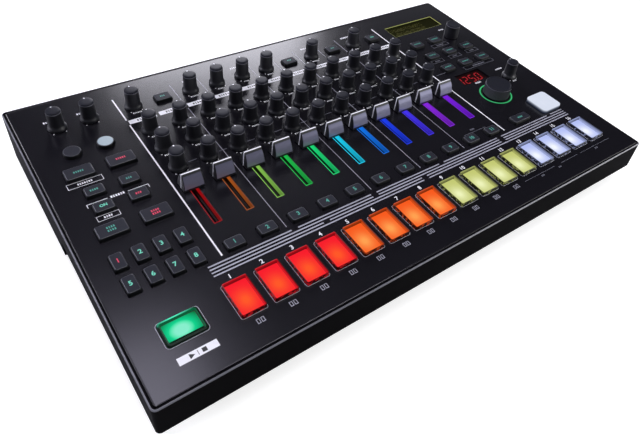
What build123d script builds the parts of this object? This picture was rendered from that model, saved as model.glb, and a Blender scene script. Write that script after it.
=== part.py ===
"""Desktop drum machine: eleven channels of pots and faders, sixteen step pads and the keys and
displays beside them, on a flat panel over a thin case with a deep rear block.

Frame: X runs along the long front edge (right-hand player's side positive), Y runs from the
player to the sockets at the back, Z is up. The origin is on the table, under the middle of the
case. All lengths are millimetres.
"""
from build123d import *
from math import atan2, cos, degrees, pi, sin, sqrt
import os

# --- Sections of the panel, left to right -------------------------------------------------
left_section = 71.0            # transport and variation keys
channel_pitch = 22.7           # one instrument channel
channel_count = 11
right_section = 92.0           # displays, menu keys and tempo
body_width = left_section + channel_count * channel_pitch + right_section

# --- Rows of the panel, front to back -----------------------------------------------------
pad_row = 35.7                 # front edge of the case to the middle of the step pads
pads_to_select = 37.1          # step pads to instrument keys
select_to_slot = 21.0          # instrument keys to the front end of the fader slots
fader_travel = 35.0
slot_to_knobs = 20.4           # fader cap at full level to the first knob row
knob_row_pitch = 22.7
knobs_to_top_row = 31.7
rear_margin = 34.9             # top row to the back of the case

# --- Case ----------------------------------------------------------------------------------
panel_height = 42.0            # table to the top of the panel
panel_thickness = 2.0
panel_gap = 0.4                # shadow line round the panel
rim_width = 1.8                # flat top of the case beside the shadow line
rim_bevel = 0.8                # bevelled outer edge of the rim
ledge_width = 4.0              # inner ledge that carries the panel
ledge_thickness = 2.5
wall = 2.5
corner_radius = 3.0
skirt_height = 23.5            # height of the thin front wall
tray_thickness = 2.0
tray_gap = 0.2                 # tray edge to the case wall
block_front = 149.0            # front edge to the deep rear block, at its floor
block_slope = 1.0              # how far the block's front wall leans forward
block_inset = 0.1              # block side to case side
block_wall = 2.2
foot_height = 4.0
foot_radius = 9.0
foot_sides = 16
foot_inset = 30.0              # foot centre to the sides of the case
front_foot_setback = 22.0
rear_foot_setback = 20.0
pedestal_flare = 1.5           # front feet stand on cones that widen upwards by this much

# --- Screws and posts ----------------------------------------------------------------------
screw_head_radius = 3.0
screw_head_height = 1.5
screw_shank_radius = 1.5
screw_shank_length = 6.0
screw_gap = 0.15               # shank to its hole, all round
screw_sides = 6
post_size = 8.0
post_gap = 0.3                 # post to the side wall of the rear block, inside
post_setback = 10.0            # post centre to the front and back of the case
rib_thickness = 2.0            # web that ties a post to the case wall

# --- Circuit board and what is soldered to it ----------------------------------------------
board_thickness = 1.6
board_depth_below = 15.0       # panel top to the board's upper face
board_side_gap = 18.0
board_front_gap = 16.0
board_rear_gap = 28.0
pot_size = 9.6
pot_height = 9.0
fader_body_width = 11.0
fader_body_overrun = 6.0       # fader body beyond its slot at either end
lever_slot_depth = 6.0
spacer_radius = 2.5            # six-sided spacers hang the board under the panel
spacer_sides = 6
spacer_lines = (0, 4, 8, 11)   # channel lines that have a spacer at the front and at the back
switch_size = 6.0
press_reserve = 0.2            # key bottom to switch top at the end of the stroke

# --- Knobs ---------------------------------------------------------------------------------
knob_sides = 10                # knobs have flats; their radii are middle to flat
knob_lift = 0.3                # skirt to panel
knob_height = 16.0             # panel to the top of a small knob
knob_skirt_radius = 5.7
knob_flare_height = 2.6        # height of the flared skirt
knob_barrel_radius = 5.3
knob_top_radius = 5.0
knob_edge = 0.6                # bevel round the top
shaft_width = 4.2              # the shafts are square
shaft_gap = 0.5                # shaft's corners, as it turns, to the panel hole
shaft_seat_gap = 0.1           # shaft end to the body of the pot
value_radius = 7.0
value_height = 13.5
value_sides = 20
value_lean = 0.3               # side leans in by this much
tempo_radius = 11.4
tempo_height = 10.5
tempo_ribs = 20
tempo_rib_depth = 0.45

# --- Fader caps and their light guides -----------------------------------------------------
cap_width = 14.8
cap_depth = 10.6
cap_height = 12.3              # panel to the ridge
cap_lift = 0.6                 # cap to panel
cap_foot = 1.8                 # upright foot of the cap
cap_ridge = 1.7                # width of the flat ridge
cap_scoop = 0.9                # hollow of the finger faces
cap_side_lean = 0.8            # the sides lean in by this much on the way up
lever_width = 1.4
lever_depth = 4.0
lever_gap = 0.5
guide_wall = 0.6
guide_inner_width = 4.6
guide_depth = 6.0
guide_gap = 0.1
guide_proud = 0.15             # rim above the panel
guide_end_room = 0.8           # lever to guide end

# --- Keys ----------------------------------------------------------------------------------
key_gap = 0.3                  # key to panel hole
key_height = 2.8               # top of a key above the panel
key_travel = 1.0
key_depth = 5.0                # key below the panel's top
key_flange = 0.9               # retaining lip beyond the hole
key_flange_thickness = 1.4
key_lean = 0.7                 # each side leans in by this much above the panel
small_key = (12.4, 9.2)
wide_key = (18.4, 11.6)
select_key = (12.4, 8.6)
mute_key = (19.0, 8.6)
variation_key = (8.0, 13.2)
round_key_radius = 6.0
round_key_sides = 24

pad_size = (15.6, 25.0)
pad_height = 2.8
pad_travel = 1.5
pad_wall = 1.0
pad_dish = 3.0                 # depth of the lit well in each step pad
pad_first = 68.3               # left edge of the case to step 1
pad_last = 29.4                # right edge of the case to step 16
pad_count = 16

start_size = (23.2, 16.4)
start_height = 1.6
start_dish = 0.9
trigger_size = 22.0
trigger_corner = 3.0
trigger_corner_flats = 3
trigger_height = 3.2

# --- Displays and the tempo ring -----------------------------------------------------------
lcd_window = (60.0, 17.8)
tempo_window = (30.0, 15.0)
glass_thickness = 1.5
glass_lap = 2.0                # glass beyond its window, all round
display_thickness = 4.0
ring_radius = 14.6
ring_width = 1.6
ring_sides = 36
ring_thickness = 1.1
ring_gap = 0.05
ring_proud = 0.1

# --- Left section --------------------------------------------------------------------------
left_column = 28.0             # columns, from the left side of the case
column_pitch = 22.3
wide_key_shift = 2.6           # wide keys line up with the small keys' inner edges
variation_first = 19.5
variation_pitch = 12.95
start_column = 31.7
variation_row = 39.0           # step pads to the lower row of variation keys
variation_row_pitch = 18.7
inst_row = 25.5                # and so on, each row from the one in front of it
motion_row = 20.6
last_row = 16.1
pattern_row = 21.0
round_row = 21.6

# --- Right section, from the right side of the case ----------------------------------------
value_column = 27.7
menu_pitch = 21.9
tempo_column = 59.8
trigger_column = 32.4
mute_column = 69.2
trigger_row = 42.5             # step pads to the trigger pad
tempo_row = 30.5
display_row = 29.6
menu_row = 19.6
menu_row_pitch = 21.4
lcd_row = 30.7
shuffle_row = 14.3             # tempo knob to shuffle knob

# --- Back of the case ----------------------------------------------------------------------
socket_height = 10.8           # above the lower edge of the case
socket_gap = 0.15              # socket to the hole in the back wall
jack_size = 12.0
jack_length = 24.0
jack_radius = 3.25
jack_depth = 20.0
jack_first = 40.0              # from the right side of the case as seen from behind
jack_pitch = 21.0
jack_names = ("phones", "line_out_right", "line_out_left", "line_in")
din_size = 16.0
din_face_radius = 6.9
din_core_radius = 5.6
din_recess = 3.2
din_first = 138.0
din_pitch = 26.0
usb_size = (12.0, 11.0)
usb_port = (8.4, 7.8)
usb_depth = 8.5
usb_tongue = (5.6, 3.2)
usb_tongue_setback = 1.0       # tongue's end to the mouth of the port
usb_place = 200.0
inlet_size = (9.6, 11.0)
inlet_radius = 2.8
inlet_depth = 9.0
inlet_pin_radius = 1.0
inlet_pin_setback = 1.0
inlet_from_right = 76.0
recess_sides = 16              # round recesses that nothing is plugged into in use
switch_button = (13.0, 7.5)
switch_length = 10.0
switch_button_gap = 0.3
switch_button_travel = 2.0
switch_from_right = 48.0
shallow_socket_length = 12.0
lock_slot = (7.0, 3.0)
lock_from_right = 24.0

# --- Worked out from the above -------------------------------------------------------------
select_row = pad_row + pads_to_select
slot_front = select_row + select_to_slot
lever_margin = guide_wall + guide_end_room + lever_depth / 2
fader_low = slot_front + lever_margin
fader_high = fader_low + fader_travel
slot_back = fader_high + lever_margin
knob_rows = [fader_high + slot_to_knobs + n * knob_row_pitch for n in range(3)]
top_row = knob_rows[2] + knobs_to_top_row
body_depth = top_row + rear_margin

panel_bottom = panel_height - panel_thickness
skirt_bottom = panel_height - skirt_height
ledge_bottom = panel_bottom - ledge_thickness
board_top = panel_height - board_depth_below
board_bottom = board_top - board_thickness
guide_bottom = panel_height - guide_depth
key_bottom = panel_height - key_depth
socket_z = skirt_bottom + socket_height

channel_x = [left_section + (n + 0.5) * channel_pitch for n in range(channel_count)]
pad_pitch = (body_width - pad_first - pad_last) / (pad_count - 1)
pad_x = [pad_first + n * pad_pitch for n in range(pad_count)]
right_column = left_column + column_pitch
menu_x = [body_width - value_column - n * menu_pitch for n in (2, 1, 0)]
tempo_y = pad_row + trigger_row + tempo_row
display_y = tempo_y + display_row
menu_y = [display_y + menu_row + n * menu_row_pitch for n in range(3)]


def at(x, y, z=0.0):
    """A place given from the front left corner of the case and from the table."""
    return Pos(x - body_width / 2, y - body_depth / 2, z)


def prism(face, height):
    """A face pushed straight up."""
    return extrude(face, height)


def outline(inset, radius):
    """The case's rounded rectangle, drawn in by inset."""
    return RectangleRounded(body_width - 2 * inset, body_depth - 2 * inset, radius)


def leaning(face, height, lean):
    """A face pushed up while its sides lean in by lean."""
    return extrude(face, height, taper=degrees(atan2(lean, height)))


# Every small knob: name -> (x, y)
top_row_knobs = {
    "knob_volume": left_column,
    "knob_ext_in": right_column,
    "knob_accent": channel_x[0],
    "knob_reverb": channel_x[2],
    "knob_delay_level": channel_x[3],
    "knob_delay_time": channel_x[4],
    "knob_feedback": channel_x[5],
    "knob_effect": channel_x[7],
    "knob_fill": channel_x[9],
}
small_knobs = {name: (x, top_row) for name, x in top_row_knobs.items()}
for row_name, row_y in zip(("ctrl", "decay", "tune"), knob_rows):
    for number, x in enumerate(channel_x, 1):
        small_knobs[f"knob_{row_name}_{number:02d}"] = (x, row_y)
small_knobs["knob_shuffle"] = (body_width - value_column, tempo_y + shuffle_row)
value_place = (body_width - value_column, menu_y[2])
tempo_place = (body_width - tempo_column, tempo_y)
knob_places = list(small_knobs.values()) + [value_place, tempo_place]

# Rectangular keys: (x, y, width, depth)
variation_y = pad_row + variation_row
inst_y = variation_y + variation_row_pitch + inst_row
motion_y = inst_y + motion_row
last_y = motion_y + last_row
pattern_y = last_y + pattern_row
round_y = pattern_y + round_row
keys = []
for x, side in ((left_column, -1), (right_column, 1)):
    keys.append((x + side * wide_key_shift, inst_y, *wide_key))
    keys.append((x, motion_y, *small_key))
    keys.append((x, last_y, *small_key))
    keys.append((x + side * wide_key_shift, pattern_y, *wide_key))
for column in range(4):
    for row in range(2):
        x = variation_first + column * variation_pitch
        keys.append((x, variation_y + row * variation_row_pitch, *variation_key))
for x in channel_x:
    keys.append((x, select_row, *select_key))
for channel in (1, 6, 8, 10):
    keys.append((channel_x[channel], top_row, *small_key))
for x in menu_x:
    keys.append((x, menu_y[0], *small_key))
    keys.append((x, menu_y[1], *small_key))
for x in menu_x[:2]:
    keys.append((x, menu_y[2], *small_key))
keys.append((body_width - mute_column, select_row, *mute_key))
round_keys = [(left_column, round_y), (right_column, round_y)]

start_place = (start_column, pad_row)
trigger_place = (body_width - trigger_column, pad_row + trigger_row)
lcd_place = (menu_x[1], menu_y[2] + lcd_row)
tempo_window_place = (body_width - tempo_column, display_y)

# Spacers under the panel: on the channel lines, ahead of the fader slots and of the top row
spacer_rows = ((select_row + slot_front) / 2, (knob_rows[2] + top_row) / 2)
spacer_places = [(left_section + n * channel_pitch, y) for n in spacer_lines for y in spacer_rows]

# Screw posts: (x, y, height of the tray's inner face below the post)
tray_top = skirt_bottom + tray_thickness
block_floor_top = foot_height + block_wall
post_inset = wall + block_wall + post_gap + post_size / 2
mid_post_y = inst_y - inst_row / 2
posts = [(body_width / 2, post_setback, tray_top)]
for x in (post_inset, body_width - post_inset):
    posts.append((x, post_setback, tray_top))
    posts.append((x, mid_post_y, tray_top))
    posts.append((x, body_depth - post_setback, block_floor_top))

jacks_x = [jack_first + n * jack_pitch for n in range(len(jack_names))]
dins_x = [din_first + n * din_pitch for n in range(2)]


def panel_plate():
    """The flat panel with a hole for every control."""
    face = outline(rim_width + panel_gap, corner_radius - rim_width)
    corner = Pos(-body_width / 2, -body_depth / 2)
    turning_room = shaft_width * sqrt(2) + 2 * shaft_gap
    shaft_hole = Rectangle(turning_room, turning_room)
    holes = [Pos(x, y) * shaft_hole for x, y in knob_places]
    holes += [Pos(x, y) * Rectangle(w + 2 * key_gap, d + 2 * key_gap) for x, y, w, d in keys]
    round_hole = RegularPolygon(round_key_radius + key_gap, round_key_sides)
    holes += [Pos(x, y) * round_hole for x, y in round_keys]
    holes += [Pos(x, pad_row) * Rectangle(*(s + 2 * key_gap for s in pad_size)) for x in pad_x]
    holes.append(Pos(*start_place) * Rectangle(*(s + 2 * key_gap for s in start_size)))
    holes.append(Pos(*trigger_place) * trigger_face(key_gap))
    holes.append(Pos(*lcd_place) * Rectangle(*lcd_window))
    holes.append(Pos(*tempo_window_place) * Rectangle(*tempo_window))
    slot_width = guide_inner_width + 2 * (guide_wall + guide_gap)
    slot_length = slot_back - slot_front + 2 * guide_gap
    slot_middle = (slot_front + slot_back) / 2
    holes += [Pos(x, slot_middle) * Rectangle(slot_width, slot_length) for x in channel_x]
    sheet = prism(face - [corner * hole for hole in holes], panel_thickness)
    groove = ring_face(ring_gap)
    plate = Pos(0, 0, panel_bottom) * sheet
    return plate - at(*tempo_place, panel_height - ring_thickness) * prism(groove, ring_thickness)


def socket_holes():
    """Every opening through the back wall, as (x, width, height)."""
    grow = 2 * socket_gap
    holes = [(x, jack_size + grow, jack_size + grow) for x in jacks_x]
    holes += [(x, din_size + grow, din_size + grow) for x in dins_x]
    holes.append((usb_place, usb_size[0] + grow, usb_size[1] + grow))
    holes.append((body_width - inlet_from_right, inlet_size[0] + grow, inlet_size[1] + grow))
    room = 2 * switch_button_gap
    holes.append((body_width - switch_from_right, switch_button[0] + room, switch_button[1] + room))
    holes.append((body_width - lock_from_right, *lock_slot))
    return holes


def cover_frame():
    """The case walls: a rim round the panel, a ledge under it, screw posts and the back wall."""
    outer = prism(outline(0, corner_radius), skirt_height)
    outer = chamfer(outer.faces().sort_by(Axis.Z)[-1].edges(), rim_bevel)
    outer -= prism(outline(wall, corner_radius - rim_width), ledge_bottom - skirt_bottom)
    rebate = outline(rim_width, corner_radius - rim_width)
    outer -= Pos(0, 0, panel_bottom - skirt_bottom) * prism(rebate, panel_thickness)
    reach = 2 * (rim_width + ledge_width)
    outer -= prism(Rectangle(body_width - reach, body_depth - reach), skirt_height)
    frame = Pos(0, 0, skirt_bottom) * outer
    for x, width, height in socket_holes():
        frame -= at(x, body_depth, socket_z) * Box(width, 4 * wall, height)
    for x, y, bottom in posts:
        frame += at(x, y, bottom) * prism(Rectangle(post_size, post_size), ledge_bottom - bottom)
        frame += post_rib(x, y)
    return frame - [screw_hole(x, y, bottom, screw_shank_length) for x, y, bottom in posts]


def post_rib(x, y):
    """The web from a post to the nearest wall: the front one in the middle, else a side one."""
    height = ledge_bottom - tray_top
    if x == body_width / 2:
        reach = y - wall / 2
        return at(x, y - reach / 2, tray_top) * prism(Rectangle(rib_thickness, reach), height)
    side = 1 if x > body_width / 2 else -1
    reach = post_inset - wall / 2
    return at(x + side * reach / 2, y, tray_top) * prism(Rectangle(reach, rib_thickness), height)


def screw_hole(x, y, bottom, height):
    """Room for one screw, from bottom up."""
    hole = RegularPolygon(screw_shank_radius + screw_gap, screw_sides)
    return at(x, y, bottom) * prism(hole, height)


def bottom_tray():
    """The lower case: a flat floor in front, a deep block behind and two pedestals for the front feet."""
    flat = prism(outline(wall + tray_gap, corner_radius - rim_width), tray_thickness)
    block = block_shape(0.0) & prism(outline(block_inset, corner_radius - block_inset), tray_top)
    tray = Pos(0, 0, skirt_bottom) * flat + block - block_shape(block_wall)
    foot_face = RegularPolygon(foot_radius, foot_sides)
    pedestal = leaning(foot_face, skirt_bottom - foot_height, -pedestal_flare)
    for x in (foot_inset, body_width - foot_inset):
        tray += at(x, front_foot_setback, foot_height) * pedestal
    return tray - [screw_hole(x, y, bottom - 2 * block_wall, 3 * block_wall) for x, y, bottom in posts]


def block_shape(inset):
    """The deep rear block, or its hollow when inset is the wall thickness."""
    front = block_front + inset
    back = body_depth - block_inset - inset
    floor = foot_height + inset
    top = skirt_bottom if inset == 0 else tray_top
    lean = block_slope * (top - floor) / (skirt_bottom - foot_height)
    side = Polyline((front, floor), (back, floor), (back, top), (front - lean, top), close=True)
    profile = make_face(Plane.YZ * side)
    half_width = body_width / 2 - (inset + wall if inset else block_inset)
    return Pos(0, -body_depth / 2, 0) * extrude(profile, half_width, both=True)


def foot_places():
    """Centres of the four feet."""
    sides = (foot_inset, body_width - foot_inset)
    rows = (front_foot_setback, body_depth - rear_foot_setback)
    return [(x, y) for x in sides for y in rows]


def rubber_feet():
    """Four rubber discs that stand on the table."""
    foot = prism(RegularPolygon(foot_radius, foot_sides), foot_height)
    return [at(x, y) * chamfer(foot.edges().group_by(Axis.Z)[0], 0.8) for x, y in foot_places()]


def case_screws():
    """Screws that hold the lower case to the posts."""
    head = prism(RegularPolygon(screw_head_radius, screw_sides), screw_head_height)
    shank = RegularPolygon(screw_shank_radius, screw_sides)
    screws = []
    for x, y, bottom in posts:
        floor = tray_thickness if bottom == tray_top else block_wall
        length = floor + screw_shank_length - screw_gap
        screw = head + Pos(0, 0, screw_head_height) * prism(shank, length)
        screws.append(at(x, y, bottom - floor - screw_head_height) * screw)
    return screws


def control_board():
    """The circuit board, what is soldered to it and the spacers that hang it under the panel."""
    width = body_width - 2 * board_side_gap
    depth = body_depth - board_front_gap - board_rear_gap
    middle_y = board_front_gap + depth / 2
    solids = [at(body_width / 2, middle_y, board_bottom) * prism(Rectangle(width, depth), board_thickness)]
    pot = prism(Rectangle(pot_size, pot_size), pot_height)
    solids += [at(x, y, board_top) * pot for x, y in knob_places]
    solids += [at(x, fader_middle(), board_top) * fader_body() for x in channel_x]
    spacer = prism(RegularPolygon(spacer_radius, spacer_sides), panel_bottom - board_top)
    solids += [at(x, y, board_top) * spacer for x, y in spacer_places]
    places = [(x, y, key_travel) for x, y, w, d in keys]
    places += [(x, y, key_travel) for x, y in round_keys]
    places += [(x, pad_row, pad_travel) for x in pad_x]
    places += [(*start_place, pad_travel), (*trigger_place, pad_travel)]
    for x, y, travel in places:
        height = key_bottom - travel - press_reserve - board_top
        solids.append(at(x, y, board_top) * prism(Rectangle(switch_size, switch_size), height))
    for place, window in ((lcd_place, lcd_window), (tempo_window_place, tempo_window)):
        bottom = panel_bottom - glass_thickness - display_thickness
        solids.append(at(*place, bottom) * prism(Rectangle(*window), display_thickness))
    return solids


def fader_middle():
    """Middle of the fader slots, from the front edge of the case."""
    return (fader_low + fader_high) / 2


def fader_body():
    """One slide pot with the slot for its lever."""
    length = slot_back - slot_front + 2 * fader_body_overrun
    height = guide_bottom - board_top
    body = prism(Rectangle(fader_body_width, length), height)
    slot = Rectangle(lever_width + 2 * lever_gap, fader_travel + lever_depth + 2 * lever_gap)
    return body - Pos(0, 0, height - lever_slot_depth) * prism(slot, lever_slot_depth)


def light_guides():
    """Clear frames that line the fader slots, and the ring round the tempo knob."""
    length = slot_back - slot_front
    outer = Rectangle(guide_inner_width + 2 * guide_wall, length)
    inner = Rectangle(guide_inner_width, length - 2 * guide_wall)
    guide = prism(outer - inner, guide_depth + guide_proud)
    solids = [at(x, fader_middle(), guide_bottom) * guide for x in channel_x]
    ring = prism(ring_face(0.0), ring_thickness + ring_proud)
    return solids + [at(*tempo_place, panel_height - ring_thickness) * ring]


def ring_face(gap):
    """The ring round the tempo knob, or the wider groove that it lies in."""
    outer = RegularPolygon(ring_radius + gap, ring_sides)
    return outer - RegularPolygon(ring_radius - ring_width - gap, ring_sides)


def display_windows():
    """The glass over the text display and over the tempo display."""
    panes = []
    for place, (width, depth) in ((lcd_place, lcd_window), (tempo_window_place, tempo_window)):
        pane = prism(Rectangle(width + 2 * glass_lap, depth + 2 * glass_lap), glass_thickness)
        panes.append(at(*place, panel_bottom - glass_thickness) * pane)
    return panes


def shaft(bottom):
    """The pot's shaft, from the pot up into the knob."""
    start = board_top + pot_height + shaft_seat_gap
    return Pos(0, 0, start) * prism(Rectangle(shaft_width, shaft_width), bottom - start)


def small_knob():
    """A tapered barrel on a flared skirt, its top edge bevelled."""
    foot = panel_height + knob_lift
    flare_top = foot + knob_flare_height
    barrel_top = panel_height + knob_height - knob_edge
    body = turned(foot, knob_skirt_radius, flare_top, knob_barrel_radius, knob_sides)
    body += turned(flare_top, knob_barrel_radius, barrel_top, knob_top_radius, knob_sides)
    flat_radius = knob_top_radius - knob_edge
    body += turned(barrel_top, knob_top_radius, barrel_top + knob_edge, flat_radius, knob_sides)
    return body + shaft(foot)


def turned(bottom, bottom_radius, top, top_radius, sides):
    """One stage of a knob: flats that lean from the bottom radius to the smaller top radius."""
    face = RegularPolygon(bottom_radius, sides, major_radius=False)
    return Pos(0, 0, bottom) * leaning(face, top - bottom, bottom_radius - top_radius)


def value_knob():
    """The wider push-turn knob beside the text display."""
    foot = panel_height + knob_lift
    top = panel_height + value_height
    body = turned(foot, value_radius, top - knob_edge, value_radius - value_lean, value_sides)
    edge = value_radius - value_lean
    body += turned(top - knob_edge, edge, top, edge - knob_edge, value_sides)
    return body + shaft(foot)


def tempo_knob():
    """The large knob with a ribbed side."""
    foot = panel_height + knob_lift
    height = tempo_height - knob_lift
    body = prism(RegularPolygon(tempo_radius, 2 * tempo_ribs), height)
    groove = prism(Rectangle(2 * tempo_rib_depth, 2 * tempo_rib_depth), height - knob_edge)
    body -= [place * groove for place in PolarLocations(tempo_radius, tempo_ribs)]
    return Pos(0, 0, foot) * body + shaft(foot)


def fader_cap():
    """One cap: an upright foot, two hollowed finger faces and a flat ridge, on its lever."""
    half = cap_depth / 2
    ridge = cap_ridge / 2
    foot_top = cap_lift + cap_foot
    mid_z = (foot_top + cap_height) / 2 - cap_scoop / 2
    mid_y = (half + ridge) / 2 - cap_scoop
    sides = [
        Line((-half, cap_lift), (half, cap_lift)),
        Line((half, cap_lift), (half, foot_top)),
        ThreePointArc((half, foot_top), (mid_y, mid_z), (ridge, cap_height)),
        Line((ridge, cap_height), (-ridge, cap_height)),
        ThreePointArc((-ridge, cap_height), (-mid_y, mid_z), (-half, foot_top)),
        Line((-half, foot_top), (-half, cap_lift)),
    ]
    profile = make_face(Plane.YZ * Wire(sides))
    body = extrude(profile, cap_width / 2, both=True) & leaning_sides()
    lever_bottom = guide_bottom - lever_slot_depth + lever_gap - panel_height
    lever = Pos(0, 0, lever_bottom) * prism(Rectangle(lever_width, lever_depth), cap_lift - lever_bottom)
    return Pos(0, 0, panel_height) * (body + lever)


def leaning_sides():
    """The envelope that makes the sides of a fader cap lean in."""
    foot = Rectangle(cap_width, 2 * cap_depth)
    top = Pos(0, 0, cap_height) * Rectangle(cap_width - 2 * cap_side_lean, 2 * cap_depth)
    return loft([foot.face(), top.face()], ruled=True)


def key(width, depth):
    """One key: a leaning top above the panel, a straight shank in its hole and a lip below."""
    below = prism(Rectangle(width, depth), key_depth)
    lip = prism(Rectangle(width + 2 * key_flange, depth + 2 * key_flange), key_flange_thickness)
    above = Pos(0, 0, key_depth) * leaning(Rectangle(width, depth), key_height, key_lean)
    return Pos(0, 0, key_bottom) * (below + lip + above)


def round_key():
    """One round key with a bevelled top."""
    body = prism(RegularPolygon(round_key_radius, round_key_sides), key_depth + key_height)
    body = chamfer(body.edges().group_by(Axis.Z)[-1], key_lean)
    return Pos(0, 0, key_bottom) * body


def panel_buttons():
    """All the small keys of the panel."""
    shapes = [at(x, y) * key(w, d) for x, y, w, d in keys]
    return shapes + [at(x, y) * round_key() for x, y in round_keys]


def step_pads():
    """Sixteen clear caps, each with a lit well in its top."""
    width, depth = pad_size
    body = prism(Rectangle(width, depth), key_depth + pad_height)
    well = Rectangle(width - 2 * pad_wall, depth - 2 * pad_wall)
    body -= Pos(0, 0, key_depth + pad_height - pad_dish) * prism(well, pad_dish)
    lip = prism(Rectangle(width + 2 * key_flange, depth + 2 * key_flange), key_flange_thickness)
    return [at(x, pad_row, key_bottom) * (body + lip) for x in pad_x]


def start_button():
    """The start and stop key, its top hollowed from side to side."""
    width, depth = start_size
    height = key_depth + start_height
    body = prism(Rectangle(width, depth), height)
    radius = (depth * depth / 4 + start_dish * start_dish) / (2 * start_dish)
    scoop = Pos(0, 0, height + radius - start_dish) * Rot(0, 90, 0) * Cylinder(radius, 2 * width)
    lip = prism(Rectangle(width + 2 * key_flange, depth + 2 * key_flange), key_flange_thickness)
    return at(*start_place, key_bottom) * (body - scoop + lip)


def trigger_face(gap):
    """The playing pad's square, or its wider hole: each corner is rounded in a few flats."""
    half = trigger_size / 2 - trigger_corner
    radius = trigger_corner + gap
    points = []
    for quarter, (x, y) in enumerate(((half, half), (-half, half), (-half, -half), (half, -half))):
        for step in range(trigger_corner_flats + 1):
            angle = (quarter + step / trigger_corner_flats) * pi / 2
            points.append((x + radius * cos(angle), y + radius * sin(angle)))
    return make_face(Polyline(*points, close=True))


def trigger_pad():
    """The square playing pad with blunted corners."""
    body = prism(trigger_face(0.0), key_depth + trigger_height)
    body = chamfer(body.edges().group_by(Axis.Z)[-1], key_lean)
    return at(*trigger_place, key_bottom) * body


def back_module(x, width, height, length):
    """A block that fills its hole in the back wall and ends flush with it."""
    return at(x, body_depth - length / 2, socket_z) * Box(width, length, height)


def drilled(x, radius, depth):
    """A round hole from the back of the case."""
    return at(x, body_depth - depth / 2, socket_z) * Rot(90, 0, 0) * Cylinder(radius, depth)


def recess(x, radius, depth):
    """A many-sided recess from the back of the case."""
    face = RegularPolygon(radius, recess_sides)
    return at(x, body_depth, socket_z) * Rot(90, 0, 0) * prism(face, depth)


def rear_sockets():
    """Jack sockets, round five-way sockets, the data socket and the power inlet."""
    jack = (jack_size, jack_size, jack_length)
    solids = [back_module(x, *jack) - drilled(x, jack_radius, jack_depth) for x in jacks_x]
    for x in dins_x:
        groove = recess(x, din_face_radius, din_recess) - recess(x, din_core_radius, din_recess)
        solids.append(back_module(x, din_size, din_size, shallow_socket_length) - groove)
    port = back_module(usb_place, *usb_port, usb_depth)
    tongue_reach = Pos(0, -usb_tongue_setback, 0)
    port -= tongue_reach * back_module(usb_place, *usb_tongue, usb_depth)
    solids.append(back_module(usb_place, *usb_size, shallow_socket_length) - port)
    inlet_x = body_width - inlet_from_right
    hole = recess(inlet_x, inlet_radius, inlet_depth)
    hole -= Pos(0, -inlet_pin_setback, 0) * recess(inlet_x, inlet_pin_radius, inlet_depth)
    solids.append(back_module(inlet_x, *inlet_size, shallow_socket_length) - hole)
    return solids


def power_switch():
    """The push switch in the back wall."""
    return back_module(body_width - switch_from_right, *switch_button, switch_length)


def save(name, shapes):
    """Write one node, which may hold several separate solids."""
    pieces = shapes if isinstance(shapes, list) else [shapes]
    export_step(Compound(children=[piece.solid() for piece in pieces]), f"parts/{name}.step")


os.makedirs("parts", exist_ok=True)
save("panel_plate", panel_plate())
save("cover_frame", cover_frame())
save("bottom_tray", bottom_tray())
save("rubber_feet", rubber_feet())
save("case_screws", case_screws())
save("control_board", control_board())
save("light_guides", light_guides())
save("display_windows", display_windows())
save("rear_sockets", rear_sockets())
save("power_switch", power_switch())
save("step_pads", step_pads())
save("start_button", start_button())
save("trigger_pad", trigger_pad())
save("panel_buttons", panel_buttons())
save("fader_caps", [at(x, fader_high) * fader_cap() for x in channel_x])
knob = small_knob()
for name, (x, y) in small_knobs.items():
    save(name, at(x, y) * knob)
save("knob_value", at(*value_place) * value_knob())
save("knob_tempo", at(*tempo_place) * tempo_knob())
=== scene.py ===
# %% [markdown]
# # A desktop drum machine, dressed piece by piece
#
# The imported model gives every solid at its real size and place. This script adds what a maker adds
# after the tooling: finishes, rounded edges, printed lines, lit caps and small marks. It never moves a
# solid. A piece that it builds again, such as a knob, stands exactly where the solid is.

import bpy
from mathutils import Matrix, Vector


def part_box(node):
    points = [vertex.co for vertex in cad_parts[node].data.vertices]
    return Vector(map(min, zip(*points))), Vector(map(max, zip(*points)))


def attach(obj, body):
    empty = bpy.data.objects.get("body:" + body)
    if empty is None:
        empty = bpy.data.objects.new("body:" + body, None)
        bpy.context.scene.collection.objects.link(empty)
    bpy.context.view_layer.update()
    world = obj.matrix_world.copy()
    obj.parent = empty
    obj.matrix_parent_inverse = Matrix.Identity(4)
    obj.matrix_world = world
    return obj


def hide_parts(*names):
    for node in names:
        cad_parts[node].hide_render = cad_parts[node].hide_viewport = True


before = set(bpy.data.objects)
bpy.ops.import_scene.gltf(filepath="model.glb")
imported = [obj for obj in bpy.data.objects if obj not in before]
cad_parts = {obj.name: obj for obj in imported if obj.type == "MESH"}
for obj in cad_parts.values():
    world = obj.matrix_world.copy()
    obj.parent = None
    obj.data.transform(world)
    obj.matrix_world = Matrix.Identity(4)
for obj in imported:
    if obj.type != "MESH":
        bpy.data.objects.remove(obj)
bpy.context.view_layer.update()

# %% Modules and the millimetre
from math import cos, hypot, pi, radians, sin, tau

import bpy
import numpy as np
from mathutils import Quaternion, Vector

MM = 0.001

# %% [markdown]
# ## Places on the panel
#
# A panel is easiest to lay out as the people who print it do: millimetres from a datum near its front
# left corner, x to the right, y towards the sockets, z above the paint. The datum is found from the first
# tune knob and the row of step pads, since the print has to fit those. One function turns panel
# millimetres into the frame's metres, and another turns a solid's box back into panel millimetres.

# %% Panel millimetres to the frame's metres, and back
first_knob_x = 81.65
pad_row_y = 34.7
case_low, case_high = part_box("cover_frame")
PANEL_TOP = case_high.z
knob_low, knob_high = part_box("knob_tune_01")
pads_low, pads_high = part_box("step_pads")
datum_x = (knob_low.x + knob_high.x) / 2 - first_knob_x * MM
datum_y = (pads_low.y + pads_high.y) / 2 - pad_row_y * MM


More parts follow.
